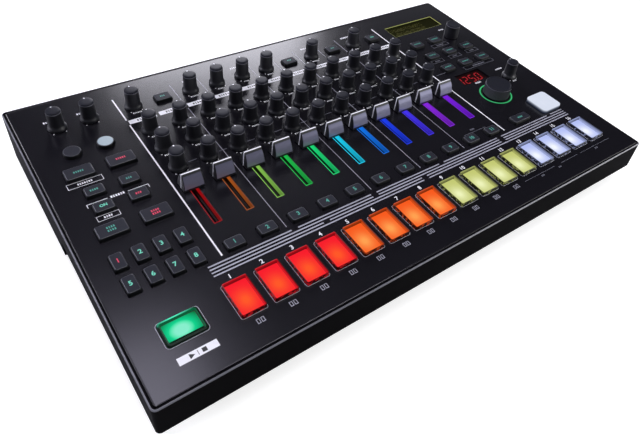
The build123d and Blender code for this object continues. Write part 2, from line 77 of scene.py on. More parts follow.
def place(x, y, z=0.0):
    """A point given in panel millimetres, in the frame's metres."""
    return Vector((datum_x + x * MM, datum_y + y * MM, PANEL_TOP + z * MM))


def in_panel(point):
    """A point of the frame, in panel millimetres."""
    return Vector(((point[0] - datum_x) / MM, (point[1] - datum_y) / MM, (point[2] - PANEL_TOP) / MM))


def middle(node):
    """The middle of a node's box, in panel millimetres."""
    low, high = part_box(node)
    return in_panel((low + high) / 2)


case_size = (case_high - case_low) / MM
print(f"case {case_size.x:.1f} x {case_size.y:.1f} mm, panel {PANEL_TOP / MM:.1f} mm above the table")

# %% [markdown]
# ## One box for each cap
#
# Some nodes hold many separate solids, such as all the small keys. To dress each key, the script has to
# know where each one is. Triangles that share a corner belong to the same solid, so the smallest corner
# number is passed from triangle to triangle until nothing changes. What is left is one group per solid.

# %% Find the separate solids of a node


def islands(node):
    """The box of each separate solid of a node, as (low, high) in panel millimetres, by x."""
    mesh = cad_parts[node].data
    points = np.empty(len(mesh.vertices) * 3)
    mesh.vertices.foreach_get("co", points)
    points = points.reshape(-1, 3)
    _, corner = np.unique(np.round(points, 6), axis=0, return_inverse=True)
    corner = corner.ravel()
    faces = np.array([[corner[v] for v in face.vertices] for face in mesh.polygons])
    group = np.arange(corner.max() + 1)
    while True:
        lowest = group[faces].min(axis=1)
        before = group.copy()
        for column in range(3):
            np.minimum.at(group, faces[:, column], lowest)
        if (group == before).all():
            break
    boxes = []
    for g in np.unique(group):
        solid = points[group[corner] == g]
        boxes.append((in_panel(solid.min(axis=0)), in_panel(solid.max(axis=0))))
    return sorted(boxes, key=lambda box: (box[0].x, box[0].y))


key_boxes = islands("panel_buttons")
pad_boxes = islands("step_pads")
cap_boxes = islands("fader_caps")
guide_boxes = islands("light_guides")
window_boxes = islands("display_windows")
print("keys", len(key_boxes), "pads", len(pad_boxes), "fader caps", len(cap_boxes))

# %% [markdown]
# ## The camera
#
# The camera stands in front of the left corner, above the panel, and leans a little to one side. A place,
# a point it looks at and a roll say where it is and how it is held. A small lens shift puts the
# object where it belongs in the picture without turning the camera.

# %% Camera
camera_place = (-27.6, -146.0, 283.1)
camera_target = (185.7, 83.2, 0.0)
camera_roll = 9.03
camera_lens = 33.7
sensor = 36.0
lens_shift = (-0.0625, -0.0656)

camera = bpy.data.objects.new("camera", bpy.data.cameras.new("camera"))
bpy.context.scene.collection.objects.link(camera)
sight = place(*camera_target) - place(*camera_place)
camera.rotation_mode = "QUATERNION"
camera.location = place(*camera_place)
camera.rotation_quaternion = sight.to_track_quat("-Z", "Y") @ Quaternion((0, 0, 1), radians(camera_roll))
camera.data.sensor_width = sensor
camera.data.lens = camera_lens
camera.data.shift_x, camera.data.shift_y = lens_shift
camera.data.clip_start, camera.data.clip_end = 0.01, 20.0
bpy.context.scene.camera = camera
print("camera is", round(sight.length, 3), "m from the point it looks at")

# %% [markdown]
# ## Shader maths as plain sums
#
# A node tree is hard to read as code, unless sums look like sums. This class wraps one socket. Adding,
# multiplying or comparing it adds the Math node, and the reflected forms let a number stand first, as in
# 1 - mask. Any other node comes from one method: settings first, then values or links.

# %% A socket that can be used in a sum


class Shade:
    """One socket of a material's tree."""

    def __init__(self, tree, socket=None):
        self.tree = tree
        self.socket = socket

    def node(self, kind, inputs=None, output=0, stops=None, **settings):
        """Add a node of that kind, with its settings, then its inputs."""
        made = self.tree.nodes.new("ShaderNode" + kind)
        for name, value in settings.items():
            setattr(made, name, value)
        if stops:
            ramp = made.color_ramp
            ramp.interpolation = "CONSTANT"
            while len(ramp.elements) < len(stops):
                ramp.elements.new(1.0)
            for element, (position, colour) in zip(ramp.elements, stops):
                element.position = position
                element.color = (*colour, 1.0)
        for key, value in (inputs or {}).items():
            if isinstance(value, Shade):
                self.tree.links.new(value.socket, made.inputs[key])
            else:
                made.inputs[key].default_value = value
        return Shade(self.tree, made.outputs[output])

    def math(self, operation, *values):
        """A Math node on these values."""
        return self.node("Math", dict(enumerate(values)), operation=operation)

    def __add__(self, other):
        return self.math("ADD", self, other)

    def __sub__(self, other):
        return self.math("SUBTRACT", self, other)

    def __rsub__(self, other):
        return self.math("SUBTRACT", other, self)

    def __mul__(self, other):
        return self.math("MULTIPLY", self, other)

    def __truediv__(self, other):
        return self.math("DIVIDE", self, other)

    def __gt__(self, other):
        return self.math("GREATER_THAN", self, other)

    def __lt__(self, other):
        return self.math("LESS_THAN", self, other)

    __radd__ = __add__
    __rmul__ = __mul__

    def clamp(self):
        """The value, held between 0 and 1."""
        return self.node("Clamp", {"Value": self})

    def mix(self, first, second):
        """Two colours mixed by this value: 0 gives the first."""
        blend = {"Factor": self.clamp()}
        made = self.node("Mix", blend, output=2, data_type="RGBA")
        sockets = made.socket.node.inputs
        for socket, colour in ((sockets[6], first), (sockets[7], second)):
            if isinstance(colour, Shade):
                self.tree.links.new(colour.socket, socket)
            else:
                socket.default_value = (*colour, 1.0)
        return made

    def where(self):
        """The x, y and z of the surface, in metres of the frame."""
        coordinates = self.node("TexCoord", output="Object")
        split = self.node("SeparateXYZ", {"Vector": coordinates})
        outputs = split.socket.node.outputs
        return [Shade(self.tree, outputs[axis]) for axis in "XYZ"]

    def noise(self, size, detail=3.0, stretch=(1.0, 1.0, 1.0)):
        """Even noise from 0 to 1, whose blobs are about size metres wide."""
        coordinates = self.node("TexCoord", output="Object")
        scaled = self.node("Mapping", {"Vector": coordinates, "Scale": stretch})
        made = {"Vector": scaled, "Scale": 1 / size, "Detail": detail}
        return self.node("TexNoise", made, output="Fac")

    def bump(self, height, depth):
        """A surface normal from a height; depth is the relief in metres."""
        return self.node("Bump", {"Height": height, "Strength": 1.0, "Distance": depth})


# %% A material from fixed numbers and drawn patterns


def tint(code):
    """A colour written as six hexadecimal digits, as the linear numbers that shaders use."""
    parts = [int(code[k:k + 2], 16) / 255 for k in (0, 2, 4)]
    return tuple(c / 12.92 if c <= 0.04045 else ((c + 0.055) / 1.055) ** 2.4 for c in parts)


def finish(name, patterns, **fixed):
    """A material: fixed numbers go on the shader itself, patterns is a function that draws the rest."""
    material = bpy.data.materials.new(name)
    material.use_nodes = True
    shader = material.node_tree.nodes["Principled BSDF"]
    for key, value in fixed.items():
        shader.inputs[key.replace("_", " ")].default_value = value
    for key, value in patterns(Shade(material.node_tree)).items():
        material.node_tree.links.new(value.socket, shader.inputs[key])
    return material


# %% [markdown]
# ## Plastics, paint and print
#
# Nothing on this machine is one flat colour. Paint has a fine orange peel, moulded plastic has a spark
# eroded grain, and both vary a little in gloss where hands rest. The colour changes by a few percent over
# centimetres and the relief by microns, so it shows as softness and not as a pattern.

# %% Satin paint and moulded plastic


def grained(colour, spread=0.25, gloss=0.4, gloss_spread=0.08, grain=0.00025, relief=0.000004):
    """The pattern of a moulded or painted surface, with its colour and its fine relief."""

    def patterns(s):
        broad = s.noise(0.03)
        fine = s.noise(grain, detail=2.0)
        light = tuple(c * (1 + spread) for c in colour)
        dark = tuple(c * (1 - spread) for c in colour)
        return {
            "Base Color": (broad * 0.6 + fine * 0.4).mix(dark, light),
            "Roughness": (broad - 0.5) * gloss_spread + (fine - 0.5) * gloss_spread + gloss,
            "Normal": s.bump(fine, relief),
        }

    return patterns


panel_paint = finish("panel_paint", grained(tint("100f15"), gloss=0.23, gloss_spread=0.03),
                     Specular_IOR_Level=0.5)
case_plastic = finish("case_plastic", grained(tint("08070a"), gloss=0.5, relief=0.000008),
                      Specular_IOR_Level=0.02)
# The rim strip and the bezels are painted light grey as highlights along their edges.
rim_gloss = finish("rim_gloss", grained(tint("76767f"), gloss=0.3), Specular_IOR_Level=0.5)
bezel_gloss = finish("bezel_gloss", grained(tint("b4b4c0"), gloss=0.3), Specular_IOR_Level=0.5)
knob_plastic = finish("knob_plastic", grained(tint("11121a"), gloss=0.45, grain=0.0002, relief=0.000004),
                      Specular_IOR_Level=0.7, Sheen_Weight=0.1, Sheen_Roughness=0.3)
# The knob top is a lighter copy of the knob plastic, painted light from above; the rim is a painted
# highlight.
knob_top = finish("knob_top", grained(tint("1d1e26"), gloss=0.42, grain=0.0002, relief=0.000006),
                  Specular_IOR_Level=0.12)
knob_rim = finish("knob_rim", grained(tint("80808c"), gloss=0.35), Specular_IOR_Level=0.5)
key_rubber = finish("key_rubber", grained(tint("0e0f12"), gloss=0.45, grain=0.0003, relief=0.000008),
                    Specular_IOR_Level=0.2)
# The key top and bevel are lighter copies of the key rubber: painted light from above and a painted
# highlight.
key_top_rubber = finish("key_top_rubber", grained(tint("26272f"), gloss=0.5, grain=0.0003, relief=0.000008),
                        Specular_IOR_Level=0.1)
key_edge_rubber = finish("key_edge_rubber", grained(tint("4a4c56"), gloss=0.4), Specular_IOR_Level=0.5)
foot_rubber = finish("foot_rubber", grained(tint("18181a"), gloss=0.8, relief=0.00001))
socket_plastic = finish("socket_plastic", grained(tint("141416"), gloss=0.35))
white_print = finish("white_print", grained(tint("efeff5"), spread=0.05, gloss=0.5))
grey_print = finish("grey_print", grained(tint("a2a2b0"), spread=0.08, gloss=0.5))
dim_print = finish("dim_print", grained(tint("6c6d78"), spread=0.1, gloss=0.5))
dark_print = finish("dark_print", grained(tint("101014"), spread=0.1, gloss=0.5))
print("materials so far:", len(bpy.data.materials))

# %% [markdown]
# ## Metal
#
# Screws and socket contacts are plated steel. Turned metal has fine rings and rolled metal has fine
# lines, so the noise is stretched along one axis until its blobs become scratches.

# %% Plated steel


def plated(s):
    """Rolled metal: long scratches in the gloss and a little in the colour."""
    scratch = s.noise(0.0004, detail=4.0, stretch=(0.05, 1.0, 1.0))
    cloud = s.noise(0.004)
    return {
        "Base Color": (scratch * 0.5 + cloud * 0.5).mix(tint("8f9096"), tint("c9cad0")),
        "Roughness": scratch * 0.25 + 0.2,
        "Normal": s.bump(scratch, 0.000003),
    }


steel = finish("plated_steel", plated, Metallic=1.0)

# %% [markdown]
# ## Lit pieces
#
# The caps, the fader slots and the legends are lit from below. A real cap is brightest over its lamp and
# falls off towards its edges, so the colour is mixed by the distance from the lamp. The row of pads has
# one lamp under each pad: the fraction of x over the pitch gives the place within one pad, whichever pad
# it is. A ramp of x with hard steps gives each pad or slot its own colour.

# %% Colours of the lamps, from left to right
pad_edge_colours = [tint(c) for c in ("f81a2a", "f85a1c", "c4ca74", "b4c0f6")]
pad_glow_colours = [tint(c) for c in ("ff5620", "ffa04e", "eef4ba", "f4f8ff")]
slot_colours = [tint(c) for c in (
    "9a0a10", "a4521e", "88c252", "20be4e", "1cdc7a", "1cd0f4", "1474ea", "2040f2", "4836f4", "8c2ae4",
    "7e22e6",
)]


def steps(count, colours):
    """Ramp stops that give equal shares of the ramp to the colours."""
    return [(n / count, colour) for n, colour in enumerate(colours)]


def along_row(s, first, pitch, count, colours):
    """The colour of the piece that a point lies on, in a row along x."""
    x = s.where()[0]
    start = place(first - pitch / 2, 0).x
    share = (x - start) / (pitch * MM * count)
    return s.node("ValToRGB", {"Fac": share}, stops=steps(len(colours), colours)), x


def emitting(colour, strength=1.0):
    """A lit surface in one colour family: the light changes by a few percent over the surface."""

    def patterns(s):
        cloud = s.noise(0.006)
        dark = tuple(c * 0.8 for c in colour)
        return {"Emission Color": cloud.mix(dark, colour), "Roughness": cloud * 0.1 + 0.35}

    return finish_lit(patterns, strength)


def finish_lit(patterns, strength, **fixed):
    """A material for a lit piece: its own colour is nearly black, so that the lamp colour shows."""
    name = f"lit_{len(bpy.data.materials):02d}"
    nearly_black = (0.004, 0.004, 0.004, 1)
    numbers = {"Emission_Strength": strength, "Base_Color": nearly_black, "Specular_IOR_Level": 0.1}
    return finish(name, patterns, **{**numbers, **fixed})


pad_pitch = (pad_boxes[-1][0].x - pad_boxes[0][0].x) / (len(pad_boxes) - 1)
pad_first = (pad_boxes[0][0].x + pad_boxes[0][1].x) / 2
pad_y = (pad_boxes[0][0].y + pad_boxes[0][1].y) / 2
pad_back = pad_boxes[0][1].y - 0.9
channel_x = [middle(f"knob_tune_{n:02d}").x for n in range(1, 12)]
channel_pitch = channel_x[1] - channel_x[0]
lamp_reach = 0.011


def pad_colour(s, colours):
    """The colour of the pad that a point lies on, from four groups of four pads."""
    row = [colour for colour in colours for _ in range(4)]
    return along_row(s, pad_first, pad_pitch, len(row), row)


def pad_floor_patterns(s):
    """The lit floor of a pad: the glow colour over the lamp, the edge colour away from it."""
    edge, x = pad_colour(s, pad_edge_colours)
    glow, _ = pad_colour(s, pad_glow_colours)
    y = s.where()[1]
    across = (x - place(pad_first - pad_pitch / 2, 0).x) / (pad_pitch * MM)
    across = across.math("FRACT", across) * (pad_pitch * MM) - pad_pitch * MM / 2
    along = (y - place(0, pad_y - 2.0).y) * 0.8
    distance = (across * across + along * along).math("SQRT", across * across + along * along)
    near = (1 - distance / lamp_reach).clamp()
    return {"Emission Color": (near * near * 1.3).mix(edge, glow), "Roughness": near * 0.1 + 0.3}


def pad_wall_patterns(s):
    """The clear inner wall of a pad: as bright as the floor at its foot on the right, dark at the back."""
    edge, _ = pad_colour(s, pad_edge_colours)
    _, y, z = s.where()
    height = ((z - place(0, 0, -0.4).z) / (3.2 * MM)).clamp()
    is_back = y > place(0, pad_back - 1.3).y
    foot = is_back.mix((0.8, 0.8, 0.8), (0.2, 0.2, 0.2))
    crest = is_back.mix((0.1, 0.1, 0.1), (0.55, 0.55, 0.55))
    dim = (height * height).mix(foot, crest)
    lit = s.node("VectorMath", {0: edge, 1: dim}, operation="MULTIPLY")
    return {"Emission Color": lit, "Roughness": height * 0.1 + 0.15}


def pad_shell_patterns(s):
    """The outside of a pad: dark clear plastic with a few specks of the lamp's colour."""
    edge, _ = pad_colour(s, pad_edge_colours)
    cloud = s.noise(0.002, detail=1.0)
    speck = cloud > 0.56
    dim = speck.mix((0.012, 0.012, 0.012), (0.3, 0.3, 0.3))
    lit = s.node("VectorMath", {0: edge, 1: dim}, operation="MULTIPLY")
    return {"Emission Color": lit, "Roughness": cloud * 0.1 + 0.1}


def pad_rim_patterns(s):
    """The narrow top edge of a pad: a little of the lamp's colour, and more of it along the back."""
    edge, _ = pad_colour(s, pad_edge_colours)
    cloud = s.noise(0.003)
    is_back = s.where()[1] > place(0, pad_back - 1.0).y
    dim = (is_back * 0.7 + cloud * 0.3).mix((0.08, 0.08, 0.08), (0.75, 0.75, 0.75))
    lit = s.node("VectorMath", {0: edge, 1: dim}, operation="MULTIPLY")
    return {"Emission Color": lit, "Roughness": cloud * 0.1 + 0.1}


pad_floor = finish_lit(pad_floor_patterns, 1.0, Specular_IOR_Level=0.05)
pad_wall = finish_lit(pad_wall_patterns, 0.9, Specular_IOR_Level=0.15)
pad_rim = finish_lit(pad_rim_patterns, 1.0, Specular_IOR_Level=0.2)
pad_shell = finish_lit(pad_shell_patterns, 1.0, Specular_IOR_Level=0.3)


def slot_light(s, level, gloss):
    """The slot's own colour at this level, which may change over the surface."""
    colour, _ = along_row(s, channel_x[0], channel_pitch, len(slot_colours), slot_colours)
    grey = s.node("CombineXYZ", {"X": level, "Y": level, "Z": level})
    lit = s.node("VectorMath", {0: colour, 1: grey}, operation="MULTIPLY")
    return {"Emission Color": lit, "Roughness": gloss}


slot_lit_depth = 3.8           # the lit part of a slot's wall
slot_fade = 0.8                # over which the light ends
slot_front_level = 0.45        # light at the front end, as a share of that at the rear


def slot_wall_patterns(s):
    """The wall inside a slot: lit over its upper four millimetres, weaker towards its front end."""
    _, y, z = s.where()
    depth = (place(0, 0, 0).z - z) / MM
    lit_part = (1 - (depth - slot_lit_depth) / slot_fade).clamp()
    along = ((y - place(0, 95).y) / (35 * MM)).clamp() * (1 - slot_front_level) + slot_front_level
    level = lit_part * (depth.clamp() * 0.25 + 0.7) + 0.03
    return slot_light(s, level * along, lit_part * 0.1 + 0.25)


def slot_line_patterns(left, right, ends):
    """A line round a slot's mouth, with its own level for each side."""

    def patterns(s):
        x = s.where()[0]
        share = (x - place(channel_x[0] - channel_pitch / 2, 0).x) / (channel_pitch * MM)
        across = share.math("FRACT", share)
        is_left, is_right = across < 0.4, across > 0.6
        cloud = s.noise(0.003)
        level = is_left * (left - ends) + is_right * (right - ends) + ends
        return slot_light(s, level * (cloud * 0.3 + 0.85), cloud * 0.1 + 0.25)

    return patterns


slot_wall = finish_lit(slot_wall_patterns, 1.0, Specular_IOR_Level=0.2)
slot_edge = finish_lit(slot_line_patterns(0.1, 0.7, 0.6), 1.0, Specular_IOR_Level=0.2)
slot_rim = finish_lit(slot_line_patterns(1.2, 0.3, 1.1), 1.0, Specular_IOR_Level=0.3)
mint_light = emitting(tint("7fe6cf"))
dim_mint_light = emitting(tint("5aaba0"))
pink_light = emitting(tint("f05070"))
red_digit_light = emitting(tint("c4222c"))


def ring_patterns(s):
    """The lit ring: deep green, with a pale line along its middle."""
    x, y, _ = s.where()
    dx, dy = x - place(*ring_place).x, y - place(*ring_place).y
    square = dx * dx + dy * dy
    offset = square.math("SQRT", square) - ring_line * MM
    near = (1 - offset.math("ABSOLUTE", offset) / (0.45 * MM)).clamp()
    cloud = s.noise(0.012)
    green = (near * (cloud + 0.3)).mix(tint("06803a"), tint("62e0a4"))
    return {"Emission Color": green, "Roughness": cloud * 0.1 + 0.2}


ring_place = middle("knob_tempo").xy
ring_line = 13.9
ring_green = finish_lit(ring_patterns, 1.0)
start_dark_green = emitting(tint("04140c"))
start_wall_green = emitting(tint("06603a"))
lcd_edge_light = emitting(tint("a8ac66"))
lcd_mark_light = emitting(tint("444214"), 1.0)
print("lit finishes made, pad pitch", round(pad_pitch, 2), "mm")

# %% [markdown]
# ## Collecting corners and faces
#
# Caps, knobs and bezels are all the same thing to a modeller: a stack of rings. A ring is an outline at
# one height, and neighbouring rings are joined by four-cornered faces. Where the rings go up, in and down
# again, the stack becomes a well. This small class collects the corners, and each face remembers the
# number of its material.

# %% A mesh that is filled ring by ring


class Body:
    """Corners and faces of one piece, in panel millimetres."""

    def __init__(self):
        self.points = []
        self.faces = []
        self.slots = []

    def face(self, corners, slot):
        self.faces.append(tuple(corners))
        self.slots.append(slot)

    def stack(self, rings, slots, bottom=0, top=0, closed=True):
        """Join rings from the lowest up. slots gives the material of each band; top and bottom close it."""
        start, count = len(self.points), len(rings[0])
        for level in rings:
            self.points += level
        bands = list(slots) + ([slots[-1]] if not closed and len(slots) < len(rings) else [])
        total = len(rings) if not closed else len(rings) - 1
        for band in range(total):
            low = start + band * count
            high = start + ((band + 1) % len(rings)) * count
            for k in range(count):
                n = (k + 1) % count
                self.face((low + k, low + n, high + n, high + k), bands[band])
        if closed:
            last = start + (len(rings) - 1) * count
            self.face([start + k for k in reversed(range(count))], bottom)
            self.face([last + k for k in range(count)], top)

    def block(self, low, high, slot=0):
        """A box between two corners."""
        (x0, y0, z0), (x1, y1, z1) = low, high
        foot = [(x0, y0, z0), (x1, y0, z0), (x1, y1, z0), (x0, y1, z0)]
        head = [(x, y, z1) for x, y, _ in foot]
        self.stack([foot, head], [slot], slot, slot)


def rounded(x, y, half_x, half_y, corner, z, steps=5):
    """A rounded rectangle at height z, as a ring of corners, anticlockwise."""
    ring = []
    for quarter, (side_x, side_y) in enumerate(((1, -1), (1, 1), (-1, 1), (-1, -1))):
        for k in range(steps + 1):
            angle = (quarter - 1) * pi / 2 + k * pi / 2 / steps
            px = x + side_x * (half_x - corner) + corner * cos(angle)
            py = y + side_y * (half_y - corner) + corner * sin(angle)
            ring.append((px, py, z))
    return ring


def circle(x, y, radius, z, count=40):
    """A circle at height z, as a ring of corners."""
    return [(x + radius * cos(tau * k / count), y + radius * sin(tau * k / count), z) for k in range(count)]


def piece(name, body, rides_on, materials, replaces=(), sharp=35.0):
    """Turn collected corners into an object that rides on a body and takes a slot's finish."""
    mesh = bpy.data.meshes.new(name)
    mesh.from_pydata([place(*point) for point in body.points], [], body.faces)
    mesh.polygons.foreach_set("material_index", body.slots)
    for material in materials:
        mesh.materials.append(material)
    return dress(name, mesh, rides_on, replaces, sharp)


def dress(name, mesh, rides_on, replaces=(), sharp=35.0):
    """Smooth a mesh up to its sharp edges and hand it to the frame."""
    mesh.shade_smooth()
    mesh.set_sharp_from_angle(angle=radians(sharp))
    made = bpy.data.objects.new(name, mesh)
    bpy.context.scene.collection.objects.link(made)
    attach(made, rides_on)
    if replaces:
        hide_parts(*replaces)
    return made


# %% [markdown]
# ## Geometry Nodes for what repeats
#
# Eleven fader caps, sixteen pads and dozens of dots are copies. A Geometry Nodes tree says the rule once:
# instance one shape on points, realize the copies and set their material. The tree has named inputs, so
# the same tree serves for every row. The result is turned into a plain mesh before the frame sees it.

# %% A tree helper and the row of copies


class Growth:
    """A Geometry Nodes tree with named inputs."""

    def __init__(self, name, inputs):
        self.tree = bpy.data.node_groups.new(name, "GeometryNodeTree")
        face = self.tree.interface
        face.new_socket("Geometry", in_out="INPUT", socket_type="NodeSocketGeometry")
        for label, kind in inputs:
            face.new_socket(label, in_out="INPUT", socket_type="NodeSocket" + kind)
        face.new_socket("Geometry", in_out="OUTPUT", socket_type="NodeSocketGeometry")
        self.start = self.tree.nodes.new("NodeGroupInput")

    def given(self, label):
        """The socket of a named input."""
        return self.start.outputs[label]

    def node(self, kind, inputs, output=0, **settings):
        """Add a node: its settings, then values or links for its inputs."""
        made = self.tree.nodes.new(kind)
        for name, value in settings.items():
            setattr(made, name, value)
        for key, value in inputs.items():
            if isinstance(value, bpy.types.NodeSocket):
                self.tree.links.new(value, made.inputs[key])
            else:
                made.inputs[key].default_value = value
        return made.outputs[output]

    def close(self, geometry):
        """End the tree: realize the copies, set their material and hand them out."""
        real = self.node("GeometryNodeRealizeInstances", {"Geometry": geometry})
        painted = self.node("GeometryNodeSetMaterial", {"Geometry": real, "Material": self.given("Material")})
        end = self.tree.nodes.new("NodeGroupOutput")
        self.tree.links.new(painted, end.inputs[0])

    def grow(self, name, points, **values):
        """Run the tree on these points and give back a plain mesh."""
        seed = bpy.data.meshes.new(name + "_points")
        seed.from_pydata(points, [], [])
        host = bpy.data.objects.new(name + "_host", seed)
        bpy.context.scene.collection.objects.link(host)
        modifier = host.modifiers.new("growth", "NODES")
        modifier.node_group = self.tree
        for item in self.tree.interface.items_tree:
            key = item.name.replace(" ", "_")
            if item.in_out == "INPUT" and key in values:
                modifier[item.identifier] = values[key]
        shown = host.evaluated_get(bpy.context.evaluated_depsgraph_get())
        mesh = bpy.data.meshes.new_from_object(shown)
        mesh.name = name
        bpy.data.objects.remove(host)
        return mesh


copies = Growth("copies_on_points", [("Piece", "Object"), ("Material", "Material")])
source = copies.node("GeometryNodeObjectInfo", {"Object": copies.given("Piece")}, output="Geometry")
copies.close(copies.node("GeometryNodeInstanceOnPoints", {
    "Points": copies.given("Geometry"), "Instance": source,
}))


def pattern_object(name, body):
    """An object that holds one shape to be copied, in metres round its own origin."""
    mesh = bpy.data.meshes.new(name)
    mesh.from_pydata([Vector(point) * MM for point in body.points], [], body.faces)
    made = bpy.data.objects.new(name, mesh)
    bpy.context.scene.collection.objects.link(made)
    return made


def copy_row(name, body, places, material, rides_on, replaces=(), sharp=35.0):
    """Copies of one shape at these panel places, as one piece."""
    shape = pattern_object(name + "_shape", body)
    mesh = copies.grow(name, [place(*p) for p in places], Piece=shape, Material=material)
    bpy.data.objects.remove(shape)
    made = dress(name, mesh, rides_on, replaces, sharp)
    print(name, len(places), "copies,", len(mesh.polygons), "faces")
    return made


# %% [markdown]
# ## Small knobs
#
# Each knob is turned: one outline of radius against height, spun round the shaft. The outline has a
# flared foot, a barrel that narrows a little, a fine rim and a nearly flat top with a soft edge. The rim is
# painted light grey as a highlight, and the top is painted lighter than the barrel as light from above.
# A white tick on the rim shows where the knob points. All the knobs share the outline, but each is a
# piece of its own, because each turns by itself.

# %% Small knobs
knob_outline = [
    (6.2, 0.3), (6.42, 0.5), (6.45, 1.0), (6.4, 1.9), (6.15, 2.4), (5.65, 3.0), (5.32, 3.7), (5.22, 4.6),
    (5.0, 14.2),
]
rim_outline = [(5.0, 14.2), (5.03, 14.3), (5.03, 14.55), (4.98, 14.65)]
top_outline = [
    (4.98, 14.65), (4.9, 15.2), (4.7, 15.6), (4.35, 15.82), (3.8, 15.92), (2.4, 15.97), (0.8, 15.99),
]
tick_outline = [(3.4, 15.95), (4.2, 15.86), (4.62, 15.66), (4.86, 15.3), (4.98, 14.75)]
tick_half_width = 0.45
tick_thickness = 0.06


def turned(body, x, y, outline, slot=0, count=40, slots=None):
    """Spin an outline of (radius, height) round the place x, y."""
    rings = [circle(x, y, radius, z, count) for radius, z in outline]
    body.stack(rings, slots or [slot] * (len(rings) - 1), slot, slots[-1] if slots else slot)


def pointer(body, x, y, outline, slot):
    """A raised white strip that follows the outline at the back of the knob."""
    rings = []
    for radius, z in outline:
        low, high = y + radius - 0.3, y + radius + tick_thickness
        rings.append([(x - tick_half_width, low, z - 0.3), (x + tick_half_width, low, z - 0.3),
                      (x + tick_half_width, high, z + 0.04), (x - tick_half_width, high, z + 0.04)])
    body.stack(rings[::-1], [slot] * (len(rings) - 1), slot, slot)


def three_part_knob(body, x, y, barrel, rim, top, count=40):
    """A knob whose barrel, rim line and top have finishes 0, 1 and 2."""
    outline = barrel + rim[1:] + top[1:]
    slots = [0] * (len(barrel) - 1) + [1] * (len(rim) - 1) + [2] * (len(top) - 1)
    turned(body, x, y, outline, count=count, slots=slots)


small_knobs = [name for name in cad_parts
               if name.startswith("knob_") and name not in ("knob_value", "knob_tempo")]
for name in small_knobs:
    spot = middle(name)
    knob = Body()
    three_part_knob(knob, spot.x, spot.y, knob_outline, rim_outline, top_outline)
    pointer(knob, spot.x, spot.y, tick_outline, 3)
    piece(name + "_cap", knob, name, [knob_plastic, knob_rim, knob_top, white_print], [name])
print("small knobs:", len(small_knobs), "with", len(knob.faces), "faces each")

# %% [markdown]
# ## The value knob and the tempo knob
#
# The value knob is plain and a little wider. The tempo knob is the largest: a flat top with a fine raised
# edge over a side with shallow ribs. The ribs are copies on a circle of points, each turned to face
# outwards, which is one short Geometry Nodes tree.

# %% Value knob
value_spot = middle("knob_value")
value_barrel = [(6.6, 0.3), (6.9, 0.6), (6.98, 1.2), (6.9, 7.0), (6.76, 12.2)]
value_rim = [(6.76, 12.2), (6.78, 12.3), (6.78, 12.5), (6.74, 12.6)]
value_top = [(6.74, 12.6), (6.65, 13.0), (6.4, 13.3), (6.0, 13.44), (5.4, 13.47), (5.2, 13.3), (1.0, 13.25)]
value = Body()
three_part_knob(value, value_spot.x, value_spot.y, value_barrel, value_rim, value_top, count=56)
piece("knob_value_cap", value, "knob_value", [knob_plastic, knob_rim, knob_top], ["knob_value"])

# %% Tempo knob and its ribs
tempo_spot = middle("knob_tempo")
tempo_radius = 11.0
tempo_barrel = [(10.6, 0.3), (10.95, 0.6), (11.0, 1.2), (11.0, 9.3)]
tempo_rim = [(11.0, 9.3), (11.3, 9.45), (11.34, 9.65), (11.3, 9.85)]
tempo_top = [
    (11.3, 9.85), (11.15, 10.2), (10.85, 10.42), (10.5, 10.47), (10.2, 10.4), (10.0, 10.25), (1.0, 10.2),
]
tempo = Body()
three_part_knob(tempo, tempo_spot.x, tempo_spot.y, tempo_barrel, tempo_rim, tempo_top, count=72)
# The tempo knob's side and ribs are painted much lighter than the knob plastic, as the light falling on them.
tempo_side = finish("tempo_side", grained(tint("505058"), gloss=0.5, grain=0.0003, relief=0.000006),
                    Specular_IOR_Level=0.8)
piece("knob_tempo_cap", tempo, "knob_tempo", [tempo_side, knob_rim, knob_top], ["knob_tempo"])

rib_tree = Growth("ribs_round_a_knob", [
    ("Radius", "Float"), ("Count", "Int"), ("Rib", "Object"), ("Material", "Material"),
])
rim = rib_tree.node("GeometryNodeMeshCircle", {
    "Vertices": rib_tree.given("Count"), "Radius": rib_tree.given("Radius"),
}, fill_type="NONE")
rib_shape = rib_tree.node("GeometryNodeObjectInfo", {"Object": rib_tree.given("Rib")}, output="Geometry")
spoke = rib_tree.node("GeometryNodeInputPosition", {})
facing = rib_tree.node("FunctionNodeAlignRotationToVector", {"Vector": spoke}, axis="X", pivot_axis="Z")
rib_set = rib_tree.node("GeometryNodeInstanceOnPoints", {
    "Points": rim, "Instance": rib_shape, "Rotation": facing,
})
at_points = rib_tree.node("GeometryNodeInstanceOnPoints", {
    "Points": rib_tree.given("Geometry"), "Instance": rib_set,
})
rib_tree.close(at_points)

rib_count = 60
rib = Body()
rib.stack([rounded(0, 0, 0.35, 0.27, 0.2, z, 2) for z in (0.9, 9.2)], [0])
rib_pattern = pattern_object("tempo_rib_shape", rib)
ribs = rib_tree.grow("tempo_ribs", [place(tempo_spot.x, tempo_spot.y)], Radius=tempo_radius * MM,
                     Count=rib_count, Rib=rib_pattern, Material=tempo_side)
bpy.data.objects.remove(rib_pattern)
dress("tempo_ribs", ribs, "knob_tempo")
print("tempo ribs:", rib_count, "with", len(ribs.polygons), "faces")

# %% [markdown]
# ## Small keys
#
# The keys are crisp mouldings: straight sides, a narrow bevel and a flat top. Each of the three has its
# finish: the bevel is painted light grey as a highlight and the top is painted lighter than the sides as
# light from above. The box of each solid gives its place and size. The lip under the panel is left out,
# because it never shows.

# %% Small keys
key_lip = 0.9
key_corner = 1.5
key_steps = [(0.0, -2.6), (0.0, 1.6), (0.2, 2.1), (0.5, 2.45), (0.75, 2.6), (1.0, 2.72), (1.25, 2.72)]
key_slots = [0, 0, 0, 1, 2, 2]
round_key_steps = [(0.0, -2.6), (0.0, 1.6), (0.2, 2.2), (0.55, 2.6), (0.8, 2.72), (1.1, 2.72)]
round_key_slots = [0, 0, 0, 1, 2]


